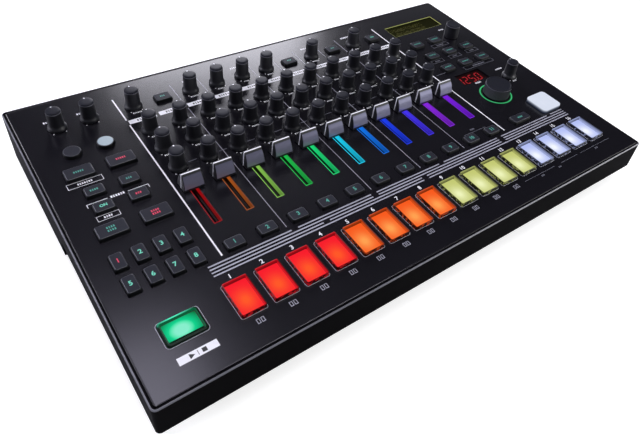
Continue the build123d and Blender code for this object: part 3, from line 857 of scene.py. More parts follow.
def is_round(box):
    """Round keys are as deep as they are wide and have no lip."""
    size = box[1] - box[0]
    return abs(size.x - size.y) < 0.05


def key_outline(box):
    """Middle and half sizes of a key at its foot, without the lip."""
    centre = (box[0] + box[1]) / 2
    lip = 0.0 if is_round(box) else key_lip
    half = (box[1] - box[0]) / 2
    return centre.x, centre.y, half.x - lip, half.y - lip


keys = Body()
for box in key_boxes:
    x, y, half_x, half_y = key_outline(box)
    if is_round(box):
        outline = [(half_x - inset, z) for inset, z in round_key_steps]
        turned(keys, x, y, outline, count=48, slots=round_key_slots)
        continue
    rings = [rounded(x, y, half_x - inset, half_y - inset, max(key_corner - inset * 0.5, 0.5), z)
             for inset, z in key_steps]
    keys.stack(rings, key_slots, 0, 2)
piece("panel_keys", keys, "panel_buttons", [key_rubber, key_edge_rubber, key_top_rubber],
      ["panel_buttons"])
round_boxes = [box for box in key_boxes if is_round(box)]
print("keys:", len(key_boxes), "of which round:", len(round_boxes))

# %% [markdown]
# ## Step pads
#
# Each pad is a clear cap with a shallow well. Four finishes meet in it: the outside, which is nearly
# black, the rim that catches the lamp, the inner wall and the glowing floor. A fine dark line separates
# the wall from the floor, as the parting line does on the real cap. Each finish is one ring of the cap,
# copied along the row.

# %% Step pads
pad_low, pad_high = pad_boxes[0]
pad_half = ((pad_high.x - pad_low.x) / 2 - key_lip, (pad_high.y - pad_low.y) / 2 - key_lip)
pad_top = pad_high.z
pad_corner = 1.1
pad_well = 3.0
pad_rim_width = 0.55
pad_line = 0.25
pad_places = [(pad_first + n * pad_pitch, pad_y, 0) for n in range(len(pad_boxes))]


def pad_ring(inset, z):
    """One level of the pad's cap."""
    corner = max(pad_corner - inset * 0.6, 0.4)
    return rounded(0, 0, pad_half[0] - inset, pad_half[1] - inset, corner, z)


def band(levels):
    """A closed ring of wall between levels of (inset, height), for copying."""
    body = Body()
    body.stack([pad_ring(inset, z) for inset, z in levels], [0] * len(levels), closed=False)
    return body


def slab(inset, low, high):
    """A closed floor plate of the pad."""
    body = Body()
    body.stack([pad_ring(inset, low), pad_ring(inset, high)], [0])
    return body


well_z = pad_top - pad_well
outside = band([
    (0.3, -2.4), (0.0, -2.4), (0.0, pad_top - 0.5), (0.12, pad_top - 0.14), (0.3, pad_top - 0.14),
])
crown = band([(0.12, pad_top - 0.14), (0.28, pad_top), (pad_rim_width - 0.1, pad_top),
              (pad_rim_width, pad_top - 0.14), (0.3, pad_top - 0.3)])
inside = band([(pad_rim_width, pad_top - 0.14), (pad_rim_width + 0.1, well_z), (pad_rim_width - 0.2, well_z),
               (pad_rim_width - 0.2, pad_top - 0.14)])
parting = band([(pad_rim_width - 0.2, well_z - 0.6), (pad_rim_width - 0.2, well_z - 0.02),
                (pad_rim_width + pad_line + 0.1, well_z - 0.02),
                (pad_rim_width + pad_line + 0.1, well_z - 0.6)])
floor_plate = slab(pad_rim_width + pad_line, well_z - 0.6, well_z + 0.05)
for name, shape, material, stands_for in (
    ("pad_shells", outside, pad_shell, ["step_pads"]),
    ("pad_rims", crown, pad_rim, []),
    ("pad_walls", inside, pad_wall, []),
    ("pad_lines", parting, dark_print, []),
    ("pad_floors", floor_plate, pad_floor, []),
):
    copy_row(name, shape, pad_places, material, "step_pads", stands_for)

# %% [markdown]
# ## Start key
#
# The start key is built as the pads are, but wider and lower, with one green lamp. It is one piece with a
# finish for each ring of its stack.

# %% Start key
start_spot = middle("start_button")
start_low, start_high = (in_panel(corner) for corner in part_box("start_button"))
start_half = ((start_high.x - start_low.x) / 2 - key_lip, (start_high.y - start_low.y) / 2 - key_lip)
start_top = start_high.z
start_well = 1.5
start_corner = 2.0


def start_floor_patterns(s):
    """The green floor, nearly white over the lamp and deep green at its ends; its front band is painted
    nearly black as shade.
    """
    x, y, _ = s.where()
    dx = (x - place(start_spot.x - 0.9, 0).x) * 0.82
    dy = y - place(0, start_spot.y - 1.0).y
    square = dx * dx + dy * dy
    distance = square.math("SQRT", square)
    far = ((distance - 0.0045) / 0.0065).clamp()
    near = (1 - distance / 0.0057).clamp()
    vivid = far.mix(tint("04e29a"), tint("00682e"))
    glow = (near * 2.0).mix(vivid, tint("86eecc"))
    # A band along the front of the floor is painted nearly black, as the shade of the key's front wall.
    shaded_front_band = y < place(0, start_spot.y - start_half[1] + 3.2).y
    return {"Emission Color": shaded_front_band.mix(glow, tint("020f09")), "Roughness": near * 0.1 + 0.3}


def start_crown_patterns(s):
    """The top edge of the key: bright along the back, where it catches the lamp, and dark in front."""
    x, y, _ = s.where()
    cloud = s.noise(0.004)
    back = ((y - place(0, start_spot.y + start_half[1] - 3.0).y) / (1.5 * MM)).clamp()
    off_middle = (x - place(start_spot.x - 2.0, 0).x)
    middle_share = (1.15 - off_middle.math("ABSOLUTE", off_middle) / (10.5 * MM)).clamp()
    ridge = middle_share.mix(tint("04301e"), tint("4cf0c0"))
    return {"Emission Color": back.mix(tint("03180e"), ridge), "Roughness": cloud * 0.1 + 0.2}


start_floor = finish_lit(start_floor_patterns, 1.0, Specular_IOR_Level=0.02)
start_crown = finish_lit(start_crown_patterns, 1.0, Specular_IOR_Level=0.1)


def start_ring(inset, z):
    """One level of the start key."""
    return rounded(start_spot.x, start_spot.y, start_half[0] - inset, start_half[1] - inset,
                   max(start_corner - inset * 0.7, 0.5), z)


start_levels = [
    (0.0, -2.4), (0.0, start_top - 0.5), (0.15, start_top - 0.12), (0.4, start_top), (1.05, start_top),
    (1.2, start_top - 0.12), (1.5, start_top - start_well), (1.9, start_top - start_well),
]
start = Body()
start.stack([start_ring(inset, z) for inset, z in start_levels], [0, 0, 1, 1, 2, 2, 3], 0, 4)
piece("start_cap", start, "start_button", [start_dark_green, start_crown, start_wall_green, dark_print,
      start_floor], ["start_button"])

# %% [markdown]
# ## Playing pad
#
# The square pad is soft white rubber over a wide lamp. Its rounded shoulders catch the light, so they
# need real curvature: eight levels are enough for a smooth quarter round.

# %% Playing pad
trigger_low, trigger_high = (in_panel(corner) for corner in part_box("trigger_pad"))
trigger_spot = (trigger_low + trigger_high) / 2
trigger_half = (trigger_high.x - trigger_low.x) / 2
trigger_corner = 3.4
shoulder = 0.8


def trigger_patterns(s):
    """White on top; down the sides the light turns blue and fades."""
    z = s.where()[2]
    cloud = s.noise(0.006)
    height = ((z - place(0, 0, 0.2).z) / ((trigger_high.z - 0.5) * MM)).clamp()
    top = cloud.mix(tint("d2d9ea"), tint("dde3f2"))
    return {"Emission Color": (height * height).mix(tint("20283a"), top), "Roughness": cloud * 0.1 + 0.5}


trigger_glow = finish_lit(trigger_patterns, 1.0, Specular_IOR_Level=0.2)
trigger = Body()
trigger_rings = [rounded(trigger_spot.x, trigger_spot.y, trigger_half, trigger_half, trigger_corner, -2.4, 8)]
for k in range(8):
    angle = k / 7 * pi / 2
    inset = shoulder * (1 - cos(angle))
    height = trigger_high.z - shoulder + shoulder * sin(angle)
    trigger_rings.append(rounded(trigger_spot.x, trigger_spot.y, trigger_half - inset, trigger_half - inset,
                                 trigger_corner - inset * 0.6, height, 8))
trigger.stack(trigger_rings, [0] * (len(trigger_rings) - 1))
piece("playing_pad", trigger, "trigger_pad", [trigger_glow], ["trigger_pad"])

# %% [markdown]
# ## Fader caps
#
# A fader cap is an extrusion with two hollowed finger faces. Its outline is drawn once, seen from the
# side, and pushed along x with leaning, bevelled ends. The silver finger face and the white index lines
# are thin pieces of their own, set on the cap as labels are, so that each row of copies has one finish.

# %% Cap outline and the cap
cap_low, cap_high = cap_boxes[0]
cap_half_width = (cap_high.x - cap_low.x) / 2
cap_half_depth = (cap_high.y - cap_low.y) / 2
cap_top = cap_high.z
cap_foot, cap_foot_top = 0.6, 2.4
cap_ridge = 0.85
cap_hollow = 0.9
cap_lean = 0.8
cap_places = [((low.x + high.x) / 2, (low.y + high.y) / 2, 0) for low, high in cap_boxes]


def finger_face(side, count=21):
    """Points (y, z) down one hollow face, from the ridge to the foot."""
    top, foot = Vector((side * cap_ridge, cap_top)), Vector((side * cap_half_depth, cap_foot_top))
    across = Vector((-(foot - top).y, (foot - top).x)).normalized() * side
    points = []
    for k in range(count):
        share = k / (count - 1)
        dip = 4 * share * (1 - share) * cap_hollow
        points.append(top + (foot - top) * share - across * dip * -1)
    return points


def cap_ring(outline, side, inset):
    """The cap's outline at one end: it leans in towards the ridge and is drawn in by inset."""
    ring = []
    for y, z in outline:
        lean = cap_lean * (z - cap_foot) / (cap_top - cap_foot)
        ring.append((side * (cap_half_width - lean - (0.25 if inset == 0 else 0.0)), y, z))
    if inset:
        centre = Vector((0, cap_top / 2))
        ring = [(x, y + (centre.x - y) * inset, z + (centre.y - z) * inset) for x, y, z in ring]
    return ring


front = finger_face(-1)
back = finger_face(1)
cap_outline = [Vector((-cap_half_depth, cap_foot)), *front[::-1], *back, Vector((cap_half_depth, cap_foot))]
cap_body = Body()
cap_body.stack([cap_ring(cap_outline, 1, 0.05), cap_ring(cap_outline, 1, 0.0), cap_ring(cap_outline, -1, 0.0),
                cap_ring(cap_outline, -1, 0.05)], [0, 0, 0])
copy_row("fader_cap_bodies", cap_body, cap_places, knob_plastic, "fader_caps",
         ["fader_caps"], 25.0)


# %% [markdown]
# The silver face is a sheet laid over the front hollow: the same curve, lifted by a hair, with a margin
# all round. The index line runs along the ridge and down both ends.

# %% Silver faces and white index lines


def brushed_face(s):
    """Satin silver with a painted reflection: lighter at the foot, darkening towards the ridge."""
    z = s.where()[2]
    height = ((z - place(0, 0, 1.0).z) / (11.0 * MM)).clamp()
    fine = s.noise(0.0005, detail=3.0, stretch=(0.1, 1.0, 1.0))
    return {
        "Base Color": height.mix(tint("9a9ab4"), tint("5a5a70")),
        "Roughness": fine * 0.1 + 0.33,
        "Normal": s.bump(fine, 0.000002),
    }


cap_silver = finish("cap_silver", brushed_face, Metallic=0.5)
margin = 0.45
sheet_lift = 0.1
sheet = Body()
inner_face = front[3:]
rows = []
for point in inner_face:
    lean = cap_lean * (point.y - cap_foot) / (cap_top - cap_foot)
    half = cap_half_width - lean - margin
    rows.append([(-half, point.x - sheet_lift, point.y + sheet_lift * 0.5),
                 (half, point.x - sheet_lift, point.y + sheet_lift * 0.5),
                 (half, point.x + 0.3, point.y), (-half, point.x + 0.3, point.y)])
sheet.stack(rows[::-1], [0] * (len(rows) - 1))
copy_row("fader_finger_faces", sheet, cap_places, cap_silver, "fader_caps")

line_width = 0.95
lines = Body()
ridge_half = cap_half_width - cap_lean - 0.1
lines.block((-ridge_half, -cap_ridge + 0.1, cap_top - 0.3),
            (ridge_half, -cap_ridge + 0.1 + line_width, cap_top + 0.03))
for side in (-1, 1):
    foot_x, head_x = side * (cap_half_width + 0.03), side * (cap_half_width - cap_lean + 0.03)
    inner = -side * 0.3
    strip = []
    for x, z in ((foot_x, cap_foot + 0.3), (head_x, cap_top)):
        ends = sorted((x, x + inner))
        strip.append([(ends[0], -line_width / 2 - 0.3, z), (ends[1], -line_width / 2 - 0.3, z),
                      (ends[1], line_width / 2 - 0.3, z), (ends[0], line_width / 2 - 0.3, z)])
    lines.stack(strip, [0])
copy_row("fader_index_lines", lines, cap_places, white_print, "fader_caps")

# %% [markdown]
# ## Lit slots and the tempo ring
#
# Each slot is lined with a clear guide. Its inner top edge is a bright thin line, its outer edge stays
# dark and its walls glow down into the slot. The guides are loops, so their stack of rings closes on
# itself.

# %% Slot guides
guides = [box for box in guide_boxes if box[1].y - box[0].y > 35]
ring_box = [box for box in guide_boxes if box[1].y - box[0].y < 35][0]
guide_low, guide_high = guides[0]
guide_half = ((guide_high.x - guide_low.x) / 2, (guide_high.y - guide_low.y) / 2)
guide_places = [((low.x + high.x) / 2, (low.y + high.y) / 2, 0) for low, high in guides]
guide_wall = 0.6
rim_share = 0.3


def guide_band(levels):
    """A closed loop of the guide between levels of (inset, height)."""
    body = Body()
    rings = [rounded(0, 0, guide_half[0] - inset, guide_half[1] - inset, max(0.5 - inset * 0.3, 0.15), z, 3)
             for inset, z in levels]
    body.stack(rings, [0] * len(rings), closed=False)
    return body


guide_top = guide_high.z
rims = guide_band([(0.0, -0.4), (0.0, guide_top - 0.04), (rim_share, guide_top - 0.04), (rim_share, -0.4)])
edges = guide_band([(rim_share, -0.3), (rim_share, guide_top), (guide_wall, guide_top), (guide_wall, -0.3)])
walls = guide_band([(0.0, -6.0), (0.0, -0.4), (guide_wall - 0.02, -0.4), (guide_wall - 0.02, -6.0)])
copy_row("slot_edges", edges, guide_places, slot_edge, "chassis", ["light_guides"])
copy_row("slot_rims", rims, guide_places, slot_rim, "chassis")
copy_row("slot_walls", walls, guide_places, slot_wall, "chassis")

# %% Tempo ring
ring_spot = (ring_box[0] + ring_box[1]) / 2
ring_outer = (ring_box[1].x - ring_box[0].x) / 2
ring_width = 1.6
tempo_ring = Body()
ring_inner = ring_outer - ring_width
ring_levels = [(ring_outer, -0.9), (ring_outer, 0.0), (ring_outer - 0.3, 0.1), (ring_inner + 0.3, 0.1),
               (ring_inner, 0.0), (ring_inner, -0.9)]
rings = [circle(ring_spot.x, ring_spot.y, radius, z, 72) for radius, z in ring_levels]
tempo_ring.stack(rings, [0] * len(rings), closed=False)
piece("tempo_ring", tempo_ring, "chassis", [ring_green])

# %% [markdown]
# ## Printed lines and plates
#
# Print is thin, but not flat: a layer of ink stands a few hundredths of a millimetre above the paint, and
# that is how it is made here. Every word is left out. Where a word stood there is a row of short bars of
# about its length, and the only characters are plain numbers.

# %% Bars and the words' places
ink_low, ink_high = -0.02, 0.04
WHITE, GREY, DIM, DARK = 0, 1, 2, 3
ink = Body()


def bar(x0, y0, x1, y1, slot=WHITE, high=ink_high):
    """A printed rectangle."""
    ink.block((x0, y0, ink_low), (x1, y1, high), slot)


def word_bars(x, y, letters, height, slot=WHITE, high=ink_high):
    """Short bars in a word's place, centred on x, y. Every third bar is split, so it reads as ink."""
    pitch = height * 0.82
    for k in range(letters):
        left = x + (k - letters / 2) * pitch
        right = left + pitch * 0.66
        if k % 3 == 1:
            bar(left, y - height / 2, right, y - height * 0.12, slot, high)
            bar(left, y + height * 0.12, right, y + height / 2, slot, high)
        else:
            bar(left, y - height / 2, right, y + height / 2, slot, high)


def word_boxes(x, y, letters, height, slot=WHITE, stroke=0.42):
    """Larger hollow marks in a word's place, centred on x, y."""
    width = height * 0.62
    pitch = height * 0.84
    for k in range(letters):
        left = x + (k - (letters - 1) / 2) * pitch - width / 2
        outline_box(left, y - height / 2, left + width, y + height / 2, slot, stroke)


def outline_box(x0, y0, x1, y1, slot=GREY, width=0.3):
    """A thin printed frame."""
    bar(x0, y0, x1, y0 + width, slot)
    bar(x0, y1 - width, x1, y1, slot)
    bar(x0, y0 + width, x0 + width, y1 - width, slot)
    bar(x1 - width, y0 + width, x1, y1 - width, slot)


# %% Channel lines, plates and legends
bold, thin = 1.05, 0.42
line_front, line_back = 67.6, 243.8
plate_low, plate_high = 209.9, 214.5
first_line = channel_x[0] - channel_pitch / 2 + 0.7
last_line = channel_x[-1] + channel_pitch / 2
for x in (first_line, last_line):
    bar(x - bold / 2, line_front, x + bold / 2, plate_low - 0.9)
    bar(x - bold / 2, plate_high + 0.9, x + bold / 2, line_back)
for after in (2, 5, 7, 9):
    x = channel_x[after - 1] + channel_pitch / 2
    bar(x - thin / 2, line_front, x + thin / 2, plate_low - 0.5, GREY)
    bar(x - thin / 2, plate_high + 6.5, x + thin / 2, 242.5, GREY)
for after in (3, 6, 8):
    x = channel_x[after - 1] + channel_pitch / 2
    bar(x - thin / 2, 222.0, x + thin / 2, 242.5, GREY)
for n, x in enumerate(channel_x):
    bar(x - 10.0, plate_low, x + 10.5, plate_high)
    word_bars(x + 0.5, (plate_low + plate_high) / 2, 5 + n % 4, 2.2, DARK, ink_high + 0.02)
    if n < len(channel_x) - 1:
        dash_x = x + channel_pitch / 2
        bar(dash_x - 3.2, 153.0, dash_x + 3.2, 153.4, DIM)
bar(last_line + 3.0, 153.0, last_line + 22.0, 153.4, DIM)
for spot, letters in (("knob_accent", 6), ("knob_reverb", 6), ("knob_effect", 8), ("knob_fill", 10)):
    word_bars(middle(spot).x + 4, 242.4, letters, 1.9)
for spot, shift in (("knob_volume", -3.0), ("knob_ext_in", -2.5)):
    word_bars(middle(spot).x + shift, middle(spot).y + 9.5, 5, 1.9)
word_bars((channel_x[3] + channel_x[5]) / 2, 242.4, 5, 1.9)

# %% [markdown]
# ## Range dots
#
# Two dots mark the ends of a knob's travel. The rule is the same for every knob, so the tree has named
# inputs for how far the dots stand apart, how far they stand in front of the shaft and how wide they are.

# %% Range dots and small legends
dot_tree = Growth("range_dots", [
    ("Spread", "Float"), ("Drop", "Float"), ("Dot Radius", "Float"), ("Thickness", "Float"),
    ("Material", "Material"),
])
dot = dot_tree.node("GeometryNodeMeshCylinder", {
    "Vertices": 10, "Radius": dot_tree.given("Dot Radius"), "Depth": dot_tree.given("Thickness"),
}, output="Mesh")
pair = dot_tree.tree.nodes.new("GeometryNodeJoinGeometry")
for sign in (-1.0, 1.0):
    across = dot_tree.node("ShaderNodeMath", {0: dot_tree.given("Spread"), 1: sign}, operation="MULTIPLY")
    back_by = dot_tree.node("ShaderNodeMath", {0: dot_tree.given("Drop"), 1: -1.0}, operation="MULTIPLY")
    shift = dot_tree.node("ShaderNodeCombineXYZ", {"X": across, "Y": back_by})
    moved = dot_tree.node("GeometryNodeTransform", {"Geometry": dot, "Translation": shift})
    dot_tree.tree.links.new(moved, pair.inputs[0])
dot_tree.close(dot_tree.node("GeometryNodeInstanceOnPoints", {
    "Points": dot_tree.given("Geometry"), "Instance": pair.outputs[0],
}))
knob_spots = [place(middle(n).x, middle(n).y, 0.01) for n in small_knobs]
dots = dot_tree.grow("range_dots", knob_spots, Spread=4.2 * MM,
                     Drop=5.9 * MM, Dot_Radius=0.42 * MM, Thickness=0.06 * MM, Material=white_print)
dress("range_dots", dots, "chassis")
for name in small_knobs:
    spot = middle(name)
    letters = 4 + len(name) % 3
    if name not in ("knob_volume", "knob_ext_in"):
        word_bars(spot.x, spot.y - 7.7, letters, 1.4)
print("dots", 2 * len(small_knobs))

# %% Stripes above the pads
stripe_left, stripe_right, stripe_width = 59.8, 387.9, 1.0
stripe_rows = (
    (63.6, (116.9, 180.5, 244.2, 306.9, 368.3)),
    (61.1, (180.5, 306.9)),
    (58.6, (138.0, 222.9, 306.9)),
    (56.1, (222.9,)),
)
stripe_gap = 4.9
for y, gaps in stripe_rows:
    left = stripe_left
    for gap in (*gaps, stripe_right):
        bar(left, y - stripe_width / 2, gap, y + stripe_width / 2, GREY)
        left = gap + stripe_gap

# %% [markdown]
# ## Numbers
#
# The built-in font makes plain numbers. Each is a text object for a moment: it gets a hair of thickness,
# becomes a mesh, and its corners go into the same collection as the bars.

# %% Numbers on the panel


def number(body, text, x, y, z, size, slot):
    """Put a plain number into a body, centred on x, y, with its foot at z."""
    curve = bpy.data.curves.new("number", "FONT")
    curve.body = text
    curve.align_x, curve.align_y = "CENTER", "CENTER"
    curve.resolution_u = 3
    curve.size = size
    curve.offset = 0.1
    curve.extrude = (ink_high - ink_low) / 2
    host = bpy.data.objects.new("number", curve)
    bpy.context.scene.collection.objects.link(host)
    mesh = bpy.data.meshes.new_from_object(host.evaluated_get(bpy.context.evaluated_depsgraph_get()))
    start = len(body.points)
    body.points += [(x + v.co.x, y + v.co.y, z + v.co.z + curve.extrude) for v in mesh.vertices]
    for polygon in mesh.polygons:
        body.face([start + v for v in polygon.vertices], slot)
    bpy.data.objects.remove(host)
    bpy.data.meshes.remove(mesh)


for n, (x, y, _) in enumerate(pad_places, 1):
    number(ink, str(n), x, 51.6, ink_low, 4.6, WHITE)
    if n <= 11:
        word_boxes(x + 0.3, 16.7, 2, 3.3, GREY)
for x0, x1 in ((288.0, 322.0), (330.0, 350.0), (354.0, 392.0)):
    bar(x0, 16.9, x1, 17.2, DIM)
for x in (306.0, 326.0, 372.0):
    word_bars(x, 14.6, 3, 1.4, DIM)

# %% Left and right section prints
plate = (20.3, 14.5, 42.6, 19.2)
bar(*plate)
symbol_y = (plate[1] + plate[3]) / 2
ink.block((33.6, symbol_y - 1.3, ink_low), (36.2, symbol_y + 1.3, ink_high + 0.02), DARK)
triangle = [(26.6, symbol_y - 1.6), (29.6, symbol_y), (26.6, symbol_y + 1.6)]
ink.stack([[(x, y, z) for x, y in triangle] for z in (ink_low, ink_high + 0.02)], [DARK], DARK, DARK)
bar(31.2, symbol_y - 1.5, 31.5, symbol_y + 1.5, DARK, ink_high + 0.02)
for box in ((14.0, 163.9, 36.5, 169.1), (20.3, 128.7, 34.3, 133.3), (353.3, 189.7, 373.1, 194.5),
            (334.1, 168.6, 348.1, 173.3), (356.0, 168.6, 370.0, 173.3), (377.9, 168.8, 392.5, 173.5),
            (355.5, 147.7, 392.2, 152.5)):
    shade = WHITE if box[0] < 100 else DIM
    outline_box(*box, slot=shade)
    word_bars((box[0] + box[2]) / 2, (box[1] + box[3]) / 2, max(3, int((box[2] - box[0]) / 3.2)), 1.7, shade)
for x0, x1 in ((18.9, 32.0), (45.0, 58.4)):
    bar(x0, 145.7, x1, 146.1)
for x in (18.9, 58.0):
    bar(x, 142.8, x + 0.4, 145.7)
word_bars(38.6, 145.9, 6, 1.9)
bar(285.6, 78.5, 308.9, 78.8, DIM)
for x in (285.6, 308.6):
    bar(x, 76.9, x + 0.3, 78.5, DIM)
word_bars(297.0, 81.6, 4, 1.4, DIM)
for x, y, letters, height in ((350.8, 127.8, 5, 1.7), (384.9, 135.1, 7, 1.5), (384.1, 213.4, 5, 1.5)):
    word_bars(x, y, letters, height)
piece("panel_print", ink, "chassis", [white_print, grey_print, dim_print, dark_print])
print("print faces:", len(ink.faces))

# %% [markdown]
# ## Lit legends on the keys
#
# The legends shine through the key tops. Here they are numbers on the keys that a player counts, and
# short bars on the rest. They ride with the keys, so they go down when a key is pressed.

# %% Legends on the keys
legend_z = 2.72
MINT, FAINT, PINK = 0, 1, 2
legends = Body()


def legend_bars(x, y, letters, height, slot, z=legend_z):
    """Short lit bars in a legend's place."""
    pitch = height * 0.85
    for k in range(letters):
        left = x + (k - letters / 2) * pitch
        split = 0.1 * height if k % 3 == 1 else 0.0
        legends.block((left, y - height / 2, z - 0.02), (left + pitch * 0.6, y - split, z + 0.03), slot)
        legends.block((left, y + split, z - 0.02), (left + pitch * 0.6, y + height / 2, z + 0.03), slot)


def key_at(x, y):
    """The middle of the key nearest to a place."""
    box = min(key_boxes, key=lambda b: hypot((b[0].x + b[1].x) / 2 - x, (b[0].y + b[1].y) / 2 - y))
    return (box[0].x + box[1].x) / 2, (box[0].y + box[1].y) / 2


for n, x in enumerate(channel_x, 1):
    number(legends, str(n), *key_at(x, 71.8), legend_z - 0.03, 4.4, FAINT)
for n in range(8):
    x, y = key_at(18.8 + 12.95 * (n % 4), 92.4 if n < 4 else 73.7)
    number(legends, str(n + 1), x, y, legend_z - 0.03, 4.6, PINK if n == 0 else MINT)
for x, y, letters, slot in (
    (24.7, 175.6, 5, FAINT), (52.2, 175.6, 5, PINK), (27.3, 154.6, 4, FAINT), (49.6, 154.6, 3, FAINT),
    (49.6, 138.5, 3, PINK), (342.8, 71.8, 4, FAINT),
):
    legend_bars(*key_at(x, y), letters, 1.6, slot)
for x, slot in ((24.7, FAINT), (52.2, PINK)):
    spot_x, spot_y = key_at(x, 117.9)
    for lift in (-1.3, 1.3):
        legend_bars(spot_x, spot_y + lift, 4, 1.6, slot)
number(legends, "ON", *key_at(27.3, 138.5), legend_z - 0.03, 3.0, MINT)
for x in (channel_x[1], channel_x[6], channel_x[8], channel_x[10]):
    legend_bars(*key_at(x, 229.1), 3, 1.5, MINT if x == channel_x[10] else FAINT)
for x in (340.5, 362.4, 384.3):
    for y in (157.3, 178.6, 200.1):
        if (x, y) != (384.3, 200.1):
            legend_bars(*key_at(x, y), 7, 1.3, FAINT)
piece("key_legends", legends, "panel_buttons", [mint_light, dim_mint_light, pink_light])

# %% The clear round key and its lit face
clear_box = max(round_boxes, key=lambda box: box[0].x)
clear_face = Body()
clear_x, clear_y, clear_r, _ = key_outline(clear_box)
clear_outline = [(clear_r - 0.9, 2.6), (clear_r - 0.95, 2.74), (clear_r - 1.15, 2.78)]
turned(clear_face, clear_x, clear_y, clear_outline, count=40)
piece("clear_key_face", clear_face, "panel_buttons", [emitting(tint("b8c8d8"), 0.9)])

# %% [markdown]
# ## Displays
#
# The text display is olive and its marks are a field of small blocks, drawn by a tree that keeps a fixed
# random share of a grid. The tempo display has four seven-segment digits. A segment is a small bar, and
# a digit is the set of bars that are lit.

# %% Text display
lcd_window = [box for box in window_boxes if box[1].x - box[0].x > 50][0]
led_window = [box for box in window_boxes if box[1].x - box[0].x < 50][0]
glass_top = lcd_window[1].z
glass_lap = 2.0


def lcd_patterns(s):
    """Olive backlight over the text display, near black over the tempo display."""
    x, y, _ = s.where()
    cloud = s.noise(0.02)
    is_lcd = y > place(0, 180).y
    olive = cloud.mix(tint("121302"), tint("1c1d05"))
    return {"Emission Color": is_lcd.mix(tint("1a0506"), olive), "Roughness": cloud * 0.1 + 0.1}


display_glass = finish_lit(lcd_patterns, 1.0, Specular_IOR_Level=0.0)

pixel_tree = Growth("display_pixels", [
    ("Size", "Vector"), ("Share", "Float"), ("Seed", "Int"), ("Columns", "Int"), ("Rows", "Int"),
    ("Pixel", "Vector"),
    ("Material", "Material"),
])
size_split = pixel_tree.node("ShaderNodeSeparateXYZ", {"Vector": pixel_tree.given("Size")})
grid = pixel_tree.node("GeometryNodeMeshGrid", {
    "Size X": size_split, "Size Y": size_split.node.outputs["Y"], "Vertices X": pixel_tree.given("Columns"),
    "Vertices Y": pixel_tree.given("Rows"),
}, output="Mesh")
lit = pixel_tree.node("FunctionNodeRandomValue", {
    "Probability": pixel_tree.given("Share"), "Seed": pixel_tree.given("Seed"),
}, output=3, data_type="BOOLEAN")
cube = pixel_tree.node("GeometryNodeMeshCube", {"Size": pixel_tree.given("Pixel")}, output="Mesh")
field = pixel_tree.node("GeometryNodeInstanceOnPoints", {"Points": grid, "Selection": lit, "Instance": cube})
pixel_tree.close(pixel_tree.node("GeometryNodeInstanceOnPoints", {
    "Points": pixel_tree.given("Geometry"), "Instance": field,
}))
lcd_middle = (lcd_window[0] + lcd_window[1]) / 2
for row, (offset, share, seed) in enumerate(((3.4, 0.55, 3), (-3.4, 0.6, 8))):
    row_place = place(lcd_middle.x - 6.0, lcd_middle.y + offset, glass_top)
    marks = pixel_tree.grow(f"display_row_{row + 1}", [row_place],
                            Size=(38 * MM, 4.2 * MM, 0), Share=share, Seed=seed, Columns=42, Rows=6,
                            Pixel=(0.66 * MM, 0.62 * MM, 0.06 * MM), Material=lcd_mark_light)
    dress(f"display_row_{row + 1}", marks, "chassis")
# The lining glows: painted light along the inside of the window frame, where the display's backlight falls.
frame_inside = Body()
lcd_half = ((lcd_window[1].x - lcd_window[0].x) / 2 - glass_lap,
            (lcd_window[1].y - lcd_window[0].y) / 2 - glass_lap)
lining = [(0.02, -0.55), (0.02, -0.15), (0.4, -0.15), (0.4, -0.55)]
frame_inside.stack([rounded(lcd_middle.x, lcd_middle.y, lcd_half[0] - inset, lcd_half[1] - inset, 0.2, z, 2)
                    for inset, z in lining], [0] * 4, closed=False)
piece("display_lining", frame_inside, "chassis", [lcd_edge_light])

# %% Tempo display
segments_of = {"1": "bc", "2": "abged", "5": "afgcd", "0": "abcdef"}
digit_width, digit_height, stroke, slant = 4.2, 9.4, 0.75, 0.12
led_middle = (led_window[0] + led_window[1]) / 2


def segment(body, x, y, name):
    """One lit bar of a digit whose lower left corner is at x, y."""
    half = digit_height / 2
    flat = {"a": digit_height, "g": half, "d": 0.0}
    upright = {"f": (0, half), "b": (digit_width, half), "e": (0, 0), "c": (digit_width, 0)}
    if name in flat:
        low = (stroke * 0.7, flat[name] - stroke / 2)
        high = (digit_width - stroke * 0.7, flat[name] + stroke / 2)
    else:
        px, py = upright[name]
        low, high = (px - stroke / 2, py + stroke * 0.7), (px + stroke / 2, py + half - stroke * 0.7)
    corners = [(low[0], low[1]), (high[0], low[1]), (high[0], high[1]), (low[0], high[1])]
    heights = (glass_top - 0.02, glass_top + 0.05)
    body.stack([[(x + px + py * slant, y + py, z) for px, py in corners] for z in heights], [0])


digits = Body()
for n, digit in enumerate("1250"):
    left = led_middle.x - 16.2 + n * 7.2 + (0.5 if n == 3 else 0.0)
    for name in segments_of[digit]:
        segment(digits, left, led_middle.y - digit_height / 2, name)
point_x = led_middle.x - 16.2 + 2 * 7.2 + digit_width + 1.2
digits.block((point_x, led_middle.y - 5.1, glass_top - 0.02),
             (point_x + 0.9, led_middle.y - 4.2, glass_top + 0.05))
piece("tempo_digits", digits, "chassis", [red_digit_light])

# %% [markdown]
# ## Bezels and the edge of the panel
#
# Each lit cap sits in a thin clear bezel, and the panel has a fine bevel all round where the paint thins.
# Both are narrow, but they draw the light lines that make the panel look real. The bezels and a strip on
# the case's rim bevel are painted light grey as highlights.

# %% Bezels
bezel_gap = 0.32


def bezel(x, y, half_x, half_y, corner, width=0.3, high=0.22):
    """A narrow closed frame round a cap's hole."""
    body = Body()
    levels = [(0.0, -0.3), (0.0, high - 0.06), (0.06, high), (width - 0.06, high), (width, high - 0.06),
              (width, -0.3)]
    rings = [rounded(x, y, half_x - inset, half_y - inset, max(corner - inset, 0.2), z)
             for inset, z in levels]
    body.stack(rings, [0] * len(rings), closed=False)
    return body


